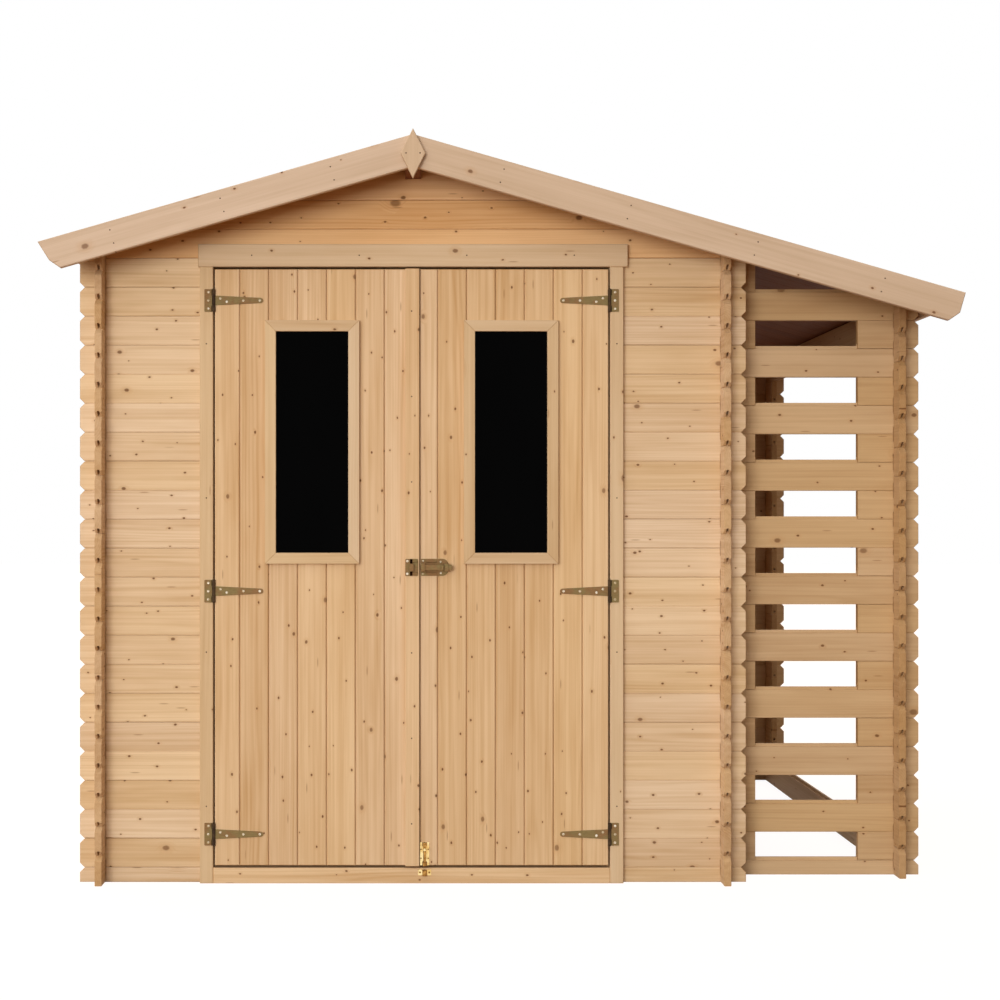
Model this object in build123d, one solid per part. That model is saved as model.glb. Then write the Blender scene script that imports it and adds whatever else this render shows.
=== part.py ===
from build123d import *

import os
from math import ceil, cos, radians, sin, tan

# A garden shed of interlocking planks, with a log store under the same roof.
# Millimetres, +Z up. The origin is on the ground, under the middle of the roof.
# The doors face -Y, and the log store stands on the +X side.

# The room, over the outer faces of its walls
ROOM_WIDTH = 1844
ROOM_DEPTH = 1844
WALL_HEIGHT = 1866

# The planks that the walls are stacked from
COURSE = 85
WALL = 21
END_REACH = 54
END_BEVEL = 14
NOTCH_PLAY = 0.4

# The log store
STORE_WIDTH = 536
STORE_SETBACK = 92
CORNER_BLOCK = 107
WALL_BLOCK = 102
TONGUE = 9
TONGUE_THICK = 7

# The roof
ROOF_PITCH_DEG = 16
ROOF_BOARD = 18
FELT = 3
FELT_LIP = 22
FELT_SETBACK = 15
GABLE_OVERHANG = 150
# How far the roof boards reach past the plank ends
LEFT_EAVE = 1
RIGHT_EAVE = 8
EAVE_BOARD = 18
EAVE_DROP = 28
PURLIN_WIDTH = 45
PURLIN_HEIGHT = 64

# The bargeboards and finials
BARGE_WIDTH = 88
BARGE_THICK = 18
LEFT_TAIL = 64
RIGHT_TAIL = 21
LEFT_RAKE = 17
BARGE_BEVEL_RUN = 24
BARGE_BEVEL_RISE = 29
FINIAL_WIDTH = 70
FINIAL_HEIGHT = 140
FINIAL_THICK = 18
FINIAL_RISE = 12

# The doorway
DOOR_OFFSET = -4
DOOR_CLEAR = 1159
HEAD_DROP = 66
TRIM = 18
JAMB_FACE = 39
JAMB_WEB = 18
HEAD_FACE = 66
HEAD_OVERHANG = 9
SILL_HEIGHT = 45

# The two door leaves
LEAF = 18
LEAF_SIDE_GAP = 5
LEAF_TOP_GAP = 7
LEAF_FOOT_GAP = 7
MEETING_GAP = 5.5
BATTEN_WIDTH = 37
BATTEN_THICK = 12
LEDGE_HEIGHT = 95
LEDGE_THICK = 18
LEDGE_INSET = 25

# The windows in the leaves
GLASS_WIDTH = 211
GLASS_HEIGHT = 645
GLASS_THICK = 4
GLASS_HEAD = 183
GLASS_REBATE = 10
GLASS_PLAY = 0.3
WINDOW_TRIM = 32
WINDOW_TRIM_THICK = 14

# The T-hinges
HINGE_INSET = 92
MIDDLE_HINGE_DROP = 112
STRAP_LENGTH = 144
STRAP_ROOT = 29
STRAP_TIP = 15
STRAP_THICK = 2.5
HINGE_PLATE_WIDTH = 23
HINGE_PLATE_HEIGHT = 66
KNUCKLE_RADIUS = 4.5
KNUCKLE_PLAY = 0.5

# The padbolt between the leaves
PADBOLT_SHARE = 0.5
PAD_PLATE_LENGTH = 80
PAD_PLATE_HEIGHT = 50
PAD_PLATE_THICK = 2.5
PAD_PLATE_INSET = 3
PAD_GUIDE_LENGTH = 12
PAD_GUIDE_WALL = 3
PAD_BAR_HEIGHT = 16
PAD_BAR_THICK = 6
PAD_BAR_LENGTH = 92
PAD_BAR_INSET = 2
PAD_LUG_WIDTH = 8
PAD_LUG_REACH = 12
PAD_LUG_PARKING = 2
PAD_PLAY = 0.5

# The barrel bolt at the foot of the right leaf
BARREL_INSET = 14
BARREL_PLATE_WIDTH = 27
BARREL_PLATE_HEIGHT = 68
BARREL_PLATE_THICK = 2
BARREL_PLATE_LIFT = 1
BARREL_GUIDE_HEIGHT = 11
BARREL_GUIDE_WALL = 2.5
BARREL_ROD_RADIUS = 4
BARREL_ROD_LENGTH = 64
BARREL_ROD_INSET = 3
BARREL_KNOB_RADIUS = 3.5
BARREL_KNOB_REACH = 13
BARREL_KNOB_PARKING = 4
BARREL_PLAY = 0.4
KEEPER_WIDTH = 38
KEEPER_HEIGHT = 17
KEEPER_DROP = 4

# One overrun for every cut
OVERRUN = 5

# Places that follow from the sizes above
slope = tan(radians(ROOF_PITCH_DEG))
plumb = 1 / cos(radians(ROOF_PITCH_DEG))
left_reach = ROOM_WIDTH / 2 + END_REACH + LEFT_EAVE + EAVE_BOARD + LEFT_TAIL
right_reach = ROOM_WIDTH / 2 + STORE_WIDTH + END_REACH + RIGHT_EAVE + EAVE_BOARD + RIGHT_TAIL
ridge_x = (left_reach - right_reach) / 2
left_face = ridge_x - ROOM_WIDTH / 2
right_face = ridge_x + ROOM_WIDTH / 2
front_face = -ROOM_DEPTH / 2
back_face = ROOM_DEPTH / 2
ridge_under = WALL_HEIGHT + slope * ROOM_WIDTH / 2
ridge_top = ridge_under + ROOF_BOARD * plumb
left_eave = left_face - END_REACH - LEFT_EAVE
store_face = right_face + STORE_WIDTH
store_end = store_face + END_REACH
right_eave = store_end + RIGHT_EAVE
roof_front = front_face - GABLE_OVERHANG
roof_back = back_face + GABLE_OVERHANG


def roof_under(x):
    """Height of the underside of the roof boards."""
    return ridge_under - slope * abs(x - ridge_x)


def roof_top(x):
    """Height of the top of the roof boards."""
    return ridge_top - slope * abs(x - ridge_x)


def block(x_span, y_span, z_span):
    """A box between two places along each axis, given in either order."""
    x_low, x_high = sorted(x_span)
    y_low, y_high = sorted(y_span)
    z_low, z_high = sorted(z_span)
    size = (x_high - x_low, y_high - y_low, z_high - z_low)
    return Pos(x_low, y_low, z_low) * Box(*size, align=Align.MIN)


def prism_along_y(points, y_span):
    """An outline of X and Z points, carried along Y."""
    y_low, y_high = sorted(y_span)
    outline = Polyline(*[(x, y_low, z) for x, z in points], close=True)
    return extrude(make_face(outline), amount=y_high - y_low, dir=(0, 1, 0))


def prism_along_x(points, x_span):
    """An outline of Y and Z points, carried along X."""
    x_low, x_high = sorted(x_span)
    outline = Polyline(*[(x_low, y, z) for y, z in points], close=True)
    return extrude(make_face(outline), amount=x_high - x_low, dir=(1, 0, 0))


def rod(start, direction, radius, length):
    """A round bar from a point, along a direction."""
    return Plane(origin=start, z_dir=direction) * Cylinder(
        radius, length, align=(Align.CENTER, Align.CENTER, Align.MIN)
    )


def save(name, *solids):
    """Write one node, of one solid or of several that stand apart."""
    shape = solids[0] if len(solids) == 1 else Compound(children=list(solids))
    export_step(shape, os.path.join("parts", name + ".step"))


def plank_ends(end, inward, low, high, first_joint):
    """Points up the ends of stacked planks, with a V where two planks meet."""
    points = [(end, low)]
    joint = first_joint
    while joint + END_BEVEL < high:
        if joint - END_BEVEL > low:
            points.append((end, joint - END_BEVEL))
            points.append((end + inward * END_BEVEL, joint))
            points.append((end, joint + END_BEVEL))
        joint += COURSE
    points.append((end, high))
    return points


def passing_slots(x_span, y_span, z_span, first_centre):
    """Slots that let the planks of a crossing wall through, half a course high."""
    half = COURSE / 4 + NOTCH_PLAY / 2
    slots = []
    centre = first_centre
    while centre - half < z_span[1]:
        if centre + half > z_span[0]:
            slots.append(block(x_span, y_span, (centre - half, centre + half)))
        centre += COURSE
    return slots


def widened(span, amount):
    """A span with the same amount added at both ends."""
    low, high = sorted(span)
    return (low - amount, high + amount)


# Planks that run along X have a joint half a course up; planks along Y have one at each full course
x_plank_joint = COURSE / 2
side_slot_centre = COURSE / 2
front_slot_centre = 0


def gable_wall(y_outer, inward):
    """A front or back wall, up to the roof, notched for the side walls and the purlin."""
    y_span = (y_outer, y_outer + inward * WALL)
    low_x = left_face - END_REACH
    high_x = right_face + END_REACH
    right_edge = plank_ends(high_x, -1, 0, roof_under(high_x), x_plank_joint)
    left_edge = plank_ends(low_x, 1, 0, roof_under(low_x), x_plank_joint)
    wall = prism_along_y(right_edge + [(ridge_x, ridge_under)] + left_edge[::-1], y_span)
    y_cut = widened(y_span, OVERRUN)
    z_cut = (0, WALL_HEIGHT)
    cuts = []
    for x_face, side in ((left_face, 1), (right_face, -1)):
        x_cut = widened((x_face, x_face + side * WALL), NOTCH_PLAY)
        cuts += passing_slots(x_cut, y_cut, z_cut, side_slot_centre)
    cuts.append(block(widened(purlin_x, NOTCH_PLAY), y_cut, (purlin_low, ridge_under + OVERRUN)))
    return wall - cuts


def side_wall(x_outer, inward):
    """A side wall of the room, notched for the front and back walls."""
    x_span = (x_outer, x_outer + inward * WALL)
    front_edge = plank_ends(front_face - END_REACH, 1, 0, WALL_HEIGHT, COURSE)
    back_edge = plank_ends(back_face + END_REACH, -1, 0, WALL_HEIGHT, COURSE)
    wall = prism_along_x(back_edge + front_edge[::-1], x_span)
    x_cut = widened(x_span, OVERRUN)
    cuts = []
    for y_face, inside in ((front_face, 1), (back_face, -1)):
        y_cut = widened((y_face, y_face + inside * WALL), NOTCH_PLAY)
        cuts += passing_slots(x_cut, y_cut, (0, WALL_HEIGHT), front_slot_centre)
    return wall - cuts


# The ridge purlin lies under the ridge, with its upper corners against the roof boards
purlin_x = (ridge_x - PURLIN_WIDTH / 2, ridge_x + PURLIN_WIDTH / 2)
purlin_top = ridge_under - slope * PURLIN_WIDTH / 2
purlin_low = purlin_top - PURLIN_HEIGHT

# The doorway is cut up to the plank joint above the door head
door_head = WALL_HEIGHT - HEAD_DROP
door_x = ridge_x + DOOR_OFFSET
door_left = door_x - DOOR_CLEAR / 2
door_right = door_x + DOOR_CLEAR / 2
cut_left = door_left - JAMB_WEB
cut_right = door_right + JAMB_WEB
lintel = x_plank_joint + COURSE * ceil((door_head - x_plank_joint) / COURSE)


def walls():
    """The room's four walls, with the front one split beside and over the doorway."""
    front = gable_wall(front_face, 1)
    far_left = left_face - END_REACH - OVERRUN
    far_right = right_face + END_REACH + OVERRUN
    y_all = widened((front_face, front_face + WALL), OVERRUN)
    save("front_wall_left", front & block((far_left, cut_left), y_all, (0, lintel)))
    save("front_wall_right", front & block((cut_right, far_right), y_all, (0, lintel)))
    save("front_gable", front & block((far_left, far_right), y_all, (lintel, ridge_top)))
    save("back_wall", gable_wall(back_face, -1))
    save("left_wall", side_wall(left_face, 1))
    save("right_wall", side_wall(right_face, -1))


# The log store's open-slatted ends stand behind the faces of the room's front and back walls
store_front = front_face + STORE_SETBACK
store_back = back_face - STORE_SETBACK
store_side = (store_face - WALL, store_face)
gap_left = right_face + WALL_BLOCK
gap_right = store_face - WALL - CORNER_BLOCK


def above_roof():
    """All the space above the underside of the right slope of the roof."""
    far = right_eave + GABLE_OVERHANG
    high = ridge_top + FINIAL_HEIGHT
    points = [(ridge_x, ridge_under), (far, roof_under(far)), (far, high), (ridge_x, high)]
    return prism_along_y(points, (roof_front, roof_back))


def store_plank(x_span, y_span, z_span):
    """A plank or block of a slatted end; only an end past the corner is bevelled."""
    low_x, high_x = x_span
    low_z, high_z = z_span
    inner_x = high_x - END_BEVEL
    points = [(low_x, low_z)]
    if low_z > 0:
        points += [(inner_x, low_z), (high_x, low_z + END_BEVEL)]
    else:
        points += [(high_x, low_z)]
    points += [(high_x, high_z - END_BEVEL), (inner_x, high_z), (low_x, high_z)]
    x_cut = widened(store_side, NOTCH_PLAY)
    y_cut = widened(y_span, OVERRUN)
    return prism_along_y(points, y_span) - passing_slots(x_cut, y_cut, z_span, side_slot_centre)


def slatted_end(y_outer, inward):
    """The slats, wall blocks and corner blocks of one end of the log store."""
    y_span = (y_outer, y_outer + inward * WALL)
    y_middle = y_outer + inward * WALL / 2
    tongue_y = (y_middle - TONGUE_THICK / 2, y_middle + TONGUE_THICK / 2)
    space = above_roof()
    slats = []
    wall_blocks = []
    corner_blocks = []
    row = 0
    low = 0
    high = x_plank_joint
    while low < roof_under(gap_left) - COURSE / 2:
        if row % 2 == 0 and low < roof_under(store_end):
            slat = store_plank((right_face, store_end), y_span, (low, high))
            tongue = block((gap_left, gap_right), tongue_y, (high, high + TONGUE))
            slats.append((slat + tongue) - space)
        if row % 2 == 1:
            is_last = high + COURSE >= roof_under(gap_left)
            top = ridge_top if is_last else high
            wall_blocks.append(block((right_face, gap_left), y_span, (low, top)) - space)
        if row % 2 == 1 and high < roof_under(store_end):
            corner_blocks.append(store_plank((gap_right, store_end), y_span, (low, high)))
        row += 1
        low, high = high, high + COURSE
    return slats, wall_blocks, corner_blocks


def side_rail(low, high):
    """A plank along the open side of the log store, past both slatted ends."""
    front = store_front - END_REACH
    back = store_back + END_REACH
    rail = block(store_side, (front, back), (low, high))
    return rail - store_slots((low, high))


def store_slots(z_span):
    """Slots in the open side for the planks of both slatted ends."""
    x_cut = widened(store_side, OVERRUN)
    front_cut = widened((store_front, store_front + WALL), NOTCH_PLAY)
    back_cut = widened((store_back - WALL, store_back), NOTCH_PLAY)
    front = passing_slots(x_cut, front_cut, z_span, front_slot_centre)
    back = passing_slots(x_cut, back_cut, z_span, front_slot_centre)
    return front + back


def corner_stack(y_outer, inward, low, high):
    """Short blocks stacked between the rails at one corner of the open side."""
    end = y_outer - inward * END_REACH
    inner = y_outer + inward * (WALL + CORNER_BLOCK)
    edge = plank_ends(end, inward, low, high, low + COURSE)
    stack = prism_along_x(edge + [(inner, high), (inner, low)], store_side)
    return stack - store_slots((low, high))


def log_store():
    """The slatted ends and the open side of the log store."""
    front_slats, front_wall_blocks, front_corner_blocks = slatted_end(store_front, 1)
    back_slats, back_wall_blocks, back_corner_blocks = slatted_end(store_back, -1)
    save("store_front_slats", *front_slats)
    save("store_back_slats", *back_slats)
    save("store_wall_blocks", *front_wall_blocks, *back_wall_blocks)
    save("store_front_blocks", *front_corner_blocks)
    save("store_back_blocks", *back_corner_blocks)
    rail_top = roof_under(store_face)
    rail_low = COURSE * int(rail_top / COURSE - 1)
    save("store_bottom_rail", side_rail(0, COURSE))
    save("store_top_rail", side_rail(rail_low, rail_top))
    save("store_corner_front", corner_stack(store_front, 1, COURSE, rail_low))
    save("store_corner_back", corner_stack(store_back, -1, COURSE, rail_low))


def roof_half(eave, outward):
    """The boards, felt and eave board of one slope."""
    y_span = (roof_front, roof_back)
    edge = eave + outward * EAVE_BOARD
    lip = edge + outward * FELT
    boards = prism_along_y(
        [(ridge_x, ridge_under), (eave, roof_under(eave)), (eave, roof_top(eave)), (ridge_x, ridge_top)],
        y_span,
    )
    drop = roof_under(eave) - EAVE_DROP
    eave_board = prism_along_y(
        [(eave, drop), (edge, drop), (edge, roof_top(edge)), (eave, roof_top(eave))], y_span
    )
    felt_thick = FELT * plumb
    sheet = prism_along_y(
        [
            (ridge_x, ridge_top),
            (lip, roof_top(lip)),
            (lip, roof_top(lip) + felt_thick),
            (ridge_x, ridge_top + felt_thick),
        ],
        widened(y_span, BARGE_THICK - FELT_SETBACK),
    )
    fold_low = roof_top(edge) - FELT_LIP
    fold = prism_along_y([(edge, fold_low), (lip, fold_low), (lip, roof_top(lip)), (edge, roof_top(edge))], y_span)
    felt = sheet + fold
    return boards, felt, eave_board


def bargeboard(tail, outward, rake, y_span):
    """A sloping board from the ridge to past the eave, with a raked end and its lower corner cut off."""
    run = outward * cos(radians(ROOF_PITCH_DEG))
    fall = sin(radians(ROOF_PITCH_DEG))
    across = (-outward * fall, -cos(radians(ROOF_PITCH_DEG)))
    tip = (tail, roof_top(tail))
    square = BARGE_WIDTH - BARGE_BEVEL_RISE
    heel = (tip[0] + across[0] * square - run * rake, tip[1] + across[1] * square + fall * rake)
    back = rake + BARGE_BEVEL_RUN
    toe = (tip[0] + across[0] * BARGE_WIDTH - run * back, tip[1] + across[1] * BARGE_WIDTH + fall * back)
    foot = (ridge_x, ridge_top - BARGE_WIDTH * plumb)
    return prism_along_y([(ridge_x, ridge_top), tip, heel, toe, foot], y_span)


def finial(y_span):
    """The diamond that covers the joint of two bargeboards."""
    top = ridge_top + FINIAL_RISE
    middle = top - FINIAL_HEIGHT / 2
    points = [
        (ridge_x, top),
        (ridge_x + FINIAL_WIDTH / 2, middle),
        (ridge_x, top - FINIAL_HEIGHT),
        (ridge_x - FINIAL_WIDTH / 2, middle),
    ]
    return prism_along_y(points, y_span)


def roof():
    """Boards, felt, purlin, eave boards, bargeboards and finials."""
    left_boards, left_felt, left_eave_board = roof_half(left_eave, -1)
    right_boards, right_felt, right_eave_board = roof_half(right_eave, 1)
    save("roof_boards_left", left_boards)
    save("roof_boards_right", right_boards)
    save("roof_felt_left", left_felt)
    save("roof_felt_right", right_felt)
    save("eave_boards", left_eave_board, right_eave_board)
    save("ridge_purlin", block(purlin_x, (roof_front, roof_back), (purlin_low, purlin_top)))
    barge_front = (roof_front - BARGE_THICK, roof_front)
    barge_back = (roof_back, roof_back + BARGE_THICK)
    left_tail = ridge_x - left_reach
    right_tail = ridge_x + right_reach
    left_barges = [bargeboard(left_tail, -1, LEFT_RAKE, y_span) for y_span in (barge_front, barge_back)]
    right_barges = [bargeboard(right_tail, 1, 0, y_span) for y_span in (barge_front, barge_back)]
    save("bargeboards_left", *left_barges)
    save("bargeboards_right", *right_barges)
    finial_front = (barge_front[0] - FINIAL_THICK, barge_front[0])
    finial_back = (barge_back[1], barge_back[1] + FINIAL_THICK)
    save("finials", finial(finial_front), finial(finial_back))


# The trims stand on the front wall, and the leaves close flush with them
trim_front = front_face - TRIM
wall_inside = front_face + WALL


def jamb(edge, outward):
    """A face on the wall's planks and a web that covers their cut ends."""
    face = block((edge, edge + outward * JAMB_FACE), (trim_front, front_face), (0, door_head))
    web = block((edge, edge + outward * JAMB_WEB), (front_face, wall_inside), (0, door_head))
    return face + web


def doorway():
    """Jambs, head and sill of the doorway."""
    save("left_jamb", jamb(door_left, -1))
    save("right_jamb", jamb(door_right, 1))
    head_half = DOOR_CLEAR / 2 + JAMB_FACE + HEAD_OVERHANG
    head_x = (ridge_x - head_half, ridge_x + head_half)
    face = block(head_x, (trim_front, front_face), (door_head, door_head + HEAD_FACE))
    web = block((cut_left, cut_right), (front_face, wall_inside), (door_head, lintel))
    save("door_head", face + web)
    save("door_sill", block((door_left, door_right), (trim_front, wall_inside), (0, SILL_HEIGHT)))


# The leaves meet beside the batten, which covers the free edge of the left one
leaf_front = trim_front
leaf_back = leaf_front + LEAF
leaf_low = SILL_HEIGHT + LEAF_FOOT_GAP
leaf_high = door_head - LEAF_TOP_GAP
leaf_height = leaf_high - leaf_low
batten_x = (door_x - BATTEN_WIDTH / 2, door_x + BATTEN_WIDTH / 2)
left_leaf_x = (door_left + LEAF_SIDE_GAP, batten_x[1])
right_leaf_x = (batten_x[1] + MEETING_GAP, door_right - LEAF_SIDE_GAP)
glass_high = leaf_high - GLASS_HEAD
glass_z = (glass_high - GLASS_HEIGHT, glass_high)
left_window_x = door_x - DOOR_CLEAR / 4
right_window_x = door_x + DOOR_CLEAR / 4
hinge_y = leaf_front - KNUCKLE_RADIUS
hinge_heights = (
    leaf_low + HINGE_INSET,
    glass_z[0] - MIDDLE_HINGE_DROP,
    leaf_high - HINGE_INSET,
)


def glass_block(centre_x, y_span, margin):
    """A block as large as the visible glass, with a margin on all four sides."""
    x_span = (centre_x - GLASS_WIDTH / 2, centre_x + GLASS_WIDTH / 2)
    return block(widened(x_span, margin), y_span, widened(glass_z, margin))


def window_frame(centre_x, y_span):
    """A flat frame around the visible glass."""
    opening = glass_block(centre_x, widened(y_span, OVERRUN), 0)
    return glass_block(centre_x, y_span, WINDOW_TRIM) - opening


def leaf(side, x_span, window_x):
    """The boards, ledges, window frames and glass of one door leaf."""
    boards = block(x_span, (leaf_front, leaf_back), (leaf_low, leaf_high))
    hole = glass_block(window_x, widened((leaf_front, leaf_back), OVERRUN), GLASS_REBATE)
    save(side + "_door_boards", boards - hole)
    ledge_x = widened(x_span, -LEDGE_INSET)
    ledge_y = (leaf_back, leaf_back + LEDGE_THICK)
    half = LEDGE_HEIGHT / 2
    ledges = [block(ledge_x, ledge_y, (height - half, height + half)) for height in hinge_heights]
    save(side + "_door_ledges", *ledges)
    outer_frame = window_frame(window_x, (leaf_front - WINDOW_TRIM_THICK, leaf_front))
    inner_frame = window_frame(window_x, (leaf_back, leaf_back + WINDOW_TRIM_THICK))
    save(side + "_window_frames", outer_frame, inner_frame)
    glass_y = (leaf_front, leaf_front + GLASS_THICK)
    save(side + "_window_glass", glass_block(window_x, glass_y, GLASS_REBATE - GLASS_PLAY))


def strap(axis_x, outward, height):
    """A tapered strap on the leaf, with the middle knuckle of its hinge."""
    along = -outward
    tip = axis_x + along * (STRAP_LENGTH - STRAP_TIP / 2)
    points = [
        (axis_x, height - STRAP_ROOT / 2),
        (tip, height - STRAP_TIP / 2),
        (tip, height + STRAP_TIP / 2),
        (axis_x, height + STRAP_ROOT / 2),
    ]
    flat = prism_along_y(points, (leaf_front - STRAP_THICK, leaf_front))
    round_tip = rod((tip, leaf_front, height), (0, -1, 0), STRAP_TIP / 2, STRAP_THICK)
    knuckle = rod((axis_x, hinge_y, height - STRAP_ROOT / 2), (0, 0, 1), KNUCKLE_RADIUS, STRAP_ROOT)
    return flat + round_tip + knuckle


def hinge_plate(axis_x, outward, height):
    """A plate on the jamb, with the upper and lower knuckles of its hinge."""
    y_span = (leaf_front - STRAP_THICK, leaf_front)
    inner = axis_x + outward * (KNUCKLE_RADIUS + KNUCKLE_PLAY)
    outer = axis_x + outward * (KNUCKLE_RADIUS + HINGE_PLATE_WIDTH)
    half = HINGE_PLATE_HEIGHT / 2
    free = STRAP_ROOT / 2 + KNUCKLE_PLAY
    plate = block((inner, outer), y_span, (height - half, height + half))
    for low, high in ((height - half, height - free), (height + free, height + half)):
        ear = block((axis_x, inner), y_span, (low, high))
        plate += ear + rod((axis_x, hinge_y, low), (0, 0, 1), KNUCKLE_RADIUS, high - low)
    return plate


def hinges():
    """Straps on both leaves and plates on both jambs."""
    plates = []
    for side, edge, outward in (("left", door_left, -1), ("right", door_right, 1)):
        axis_x = edge - outward * LEAF_SIDE_GAP / 2
        straps = [strap(axis_x, outward, height) for height in hinge_heights]
        save(side + "_hinge_straps", *straps)
        plates += [hinge_plate(axis_x, outward, height) for height in hinge_heights]
    save("hinge_plates", *plates)


def padbolt():
    """A flat bar in two guides on the right leaf, and its keeper on the batten."""
    height = leaf_low + leaf_height * PADBOLT_SHARE
    bar_z = (height - PAD_BAR_HEIGHT / 2, height + PAD_BAR_HEIGHT / 2)
    hole_z = widened(bar_z, PAD_PLAY)
    guide_z = widened(hole_z, PAD_GUIDE_WALL)
    plate_z = (height - PAD_PLATE_HEIGHT / 2, height + PAD_PLATE_HEIGHT / 2)
    bar_back = leaf_front - BATTEN_THICK - PAD_PLATE_THICK - PAD_PLAY
    bar_y = (bar_back - PAD_BAR_THICK, bar_back)
    hole_y = widened(bar_y, PAD_PLAY)
    guide_front = hole_y[0] - PAD_GUIDE_WALL
    plate_x = right_leaf_x[0] + PAD_PLATE_INSET
    plate_end = plate_x + PAD_PLATE_LENGTH
    body = block((plate_x, plate_end), (leaf_front - PAD_PLATE_THICK, leaf_front), plate_z)
    near_guide = (plate_x, plate_x + PAD_GUIDE_LENGTH)
    far_guide = (plate_end - PAD_GUIDE_LENGTH, plate_end)
    for x_span in (near_guide, far_guide):
        body += block(x_span, (guide_front, leaf_front), guide_z)
    tunnel = block(widened((plate_x, plate_end), OVERRUN), hole_y, hole_z)
    save("padbolt_body", body - tunnel)
    bar_x = right_leaf_x[0] + PAD_BAR_INSET
    bar = block((bar_x, bar_x + PAD_BAR_LENGTH), bar_y, bar_z)
    lug_end = far_guide[0] - PAD_LUG_PARKING
    lug = block((lug_end - PAD_LUG_WIDTH, lug_end), (bar_y[0] - PAD_LUG_REACH, bar_y[1]), bar_z)
    save("padbolt_bar", bar + lug)
    batten_front = leaf_front - BATTEN_THICK
    keeper = block(batten_x, (batten_front - PAD_PLATE_THICK, batten_front), plate_z)
    loop_x = (door_x - PAD_GUIDE_LENGTH / 2, door_x + PAD_GUIDE_LENGTH / 2)
    keeper += block(loop_x, (guide_front, batten_front), guide_z)
    passage = block(widened(batten_x, OVERRUN), hole_y, hole_z)
    save("padbolt_keeper", keeper - passage)


def barrel_bolt():
    """A round rod in two guides at the foot of the right leaf, and its keeper on the sill."""
    axis_x = right_leaf_x[0] + BARREL_INSET
    bore = BARREL_ROD_RADIUS + BARREL_PLAY
    half_guide = bore + BARREL_GUIDE_WALL
    axis_y = leaf_front - BARREL_PLATE_THICK - bore
    guide_x = (axis_x - half_guide, axis_x + half_guide)
    guide_y = (axis_y - half_guide, leaf_front)
    plate_low = leaf_low + BARREL_PLATE_LIFT
    plate_high = plate_low + BARREL_PLATE_HEIGHT
    plate_x = (axis_x - BARREL_PLATE_WIDTH / 2, axis_x + BARREL_PLATE_WIDTH / 2)
    body = block(plate_x, (leaf_front - BARREL_PLATE_THICK, leaf_front), (plate_low, plate_high))
    low_guide = (plate_low, plate_low + BARREL_GUIDE_HEIGHT)
    high_guide = (plate_high - BARREL_GUIDE_HEIGHT, plate_high)
    for z_span in (low_guide, high_guide):
        body += block(guide_x, guide_y, z_span)
    tunnel_start = (axis_x, axis_y, plate_low - OVERRUN)
    tunnel = rod(tunnel_start, (0, 0, 1), bore, BARREL_PLATE_HEIGHT + 2 * OVERRUN)
    save("barrel_bolt_body", body - tunnel)
    rod_low = leaf_low + BARREL_ROD_INSET
    knob_height = high_guide[0] - BARREL_KNOB_PARKING - BARREL_KNOB_RADIUS
    bar = rod((axis_x, axis_y, rod_low), (0, 0, 1), BARREL_ROD_RADIUS, BARREL_ROD_LENGTH)
    knob = rod((axis_x, axis_y, knob_height), (0, -1, 0), BARREL_KNOB_RADIUS, BARREL_KNOB_REACH)
    save("barrel_bolt_rod", bar + knob)
    keeper_z = (SILL_HEIGHT - KEEPER_DROP - KEEPER_HEIGHT, SILL_HEIGHT - KEEPER_DROP)
    keeper_x = (axis_x - KEEPER_WIDTH / 2, axis_x + KEEPER_WIDTH / 2)
    keeper = block(keeper_x, (leaf_front - BARREL_PLATE_THICK, leaf_front), keeper_z)
    keeper += block(guide_x, guide_y, keeper_z)
    socket_start = (axis_x, axis_y, keeper_z[0] - OVERRUN)
    socket = rod(socket_start, (0, 0, 1), bore, KEEPER_HEIGHT + 2 * OVERRUN)
    save("barrel_bolt_keeper", keeper - socket)


def doors():
    """Both leaves, with the batten that covers their joint."""
    leaf("left", left_leaf_x, left_window_x)
    leaf("right", right_leaf_x, right_window_x)
    batten_y = (leaf_front - BATTEN_THICK, leaf_front)
    save("meeting_batten", block(batten_x, batten_y, (leaf_low, leaf_high)))


os.makedirs("parts", exist_ok=True)
walls()
log_store()
roof()
doorway()
doors()
hinges()
padbolt()
barrel_bolt()
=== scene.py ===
import math
import random
from collections import namedtuple

import bpy
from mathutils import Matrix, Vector


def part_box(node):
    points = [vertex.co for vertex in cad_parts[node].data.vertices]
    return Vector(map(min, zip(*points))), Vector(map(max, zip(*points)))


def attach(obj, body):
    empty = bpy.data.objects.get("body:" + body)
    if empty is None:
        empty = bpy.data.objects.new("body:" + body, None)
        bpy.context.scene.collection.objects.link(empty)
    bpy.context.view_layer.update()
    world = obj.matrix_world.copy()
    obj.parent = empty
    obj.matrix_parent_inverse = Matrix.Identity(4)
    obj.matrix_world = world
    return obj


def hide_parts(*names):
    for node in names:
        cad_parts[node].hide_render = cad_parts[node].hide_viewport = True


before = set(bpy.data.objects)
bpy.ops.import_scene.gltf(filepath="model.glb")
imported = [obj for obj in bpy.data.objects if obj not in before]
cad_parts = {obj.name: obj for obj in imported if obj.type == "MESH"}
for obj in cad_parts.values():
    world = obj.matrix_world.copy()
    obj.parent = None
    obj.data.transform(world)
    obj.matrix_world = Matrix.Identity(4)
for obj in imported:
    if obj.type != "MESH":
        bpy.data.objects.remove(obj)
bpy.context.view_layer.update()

X = Vector((1, 0, 0))
Y = Vector((0, 1, 0))
Z = Vector((0, 0, 1))
SIDES = (("left", -1), ("right", 1))

# Planks of the walls and the log store, in metres
COURSE = 0.085
END_BEVEL = 0.014
NOTCH_PLAY = 0.0004
TONGUE = 0.009
GROOVE = 0.016
ARRIS = 0.0014
HALF_SLOT = COURSE / 4 + NOTCH_PLAY / 2

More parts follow.
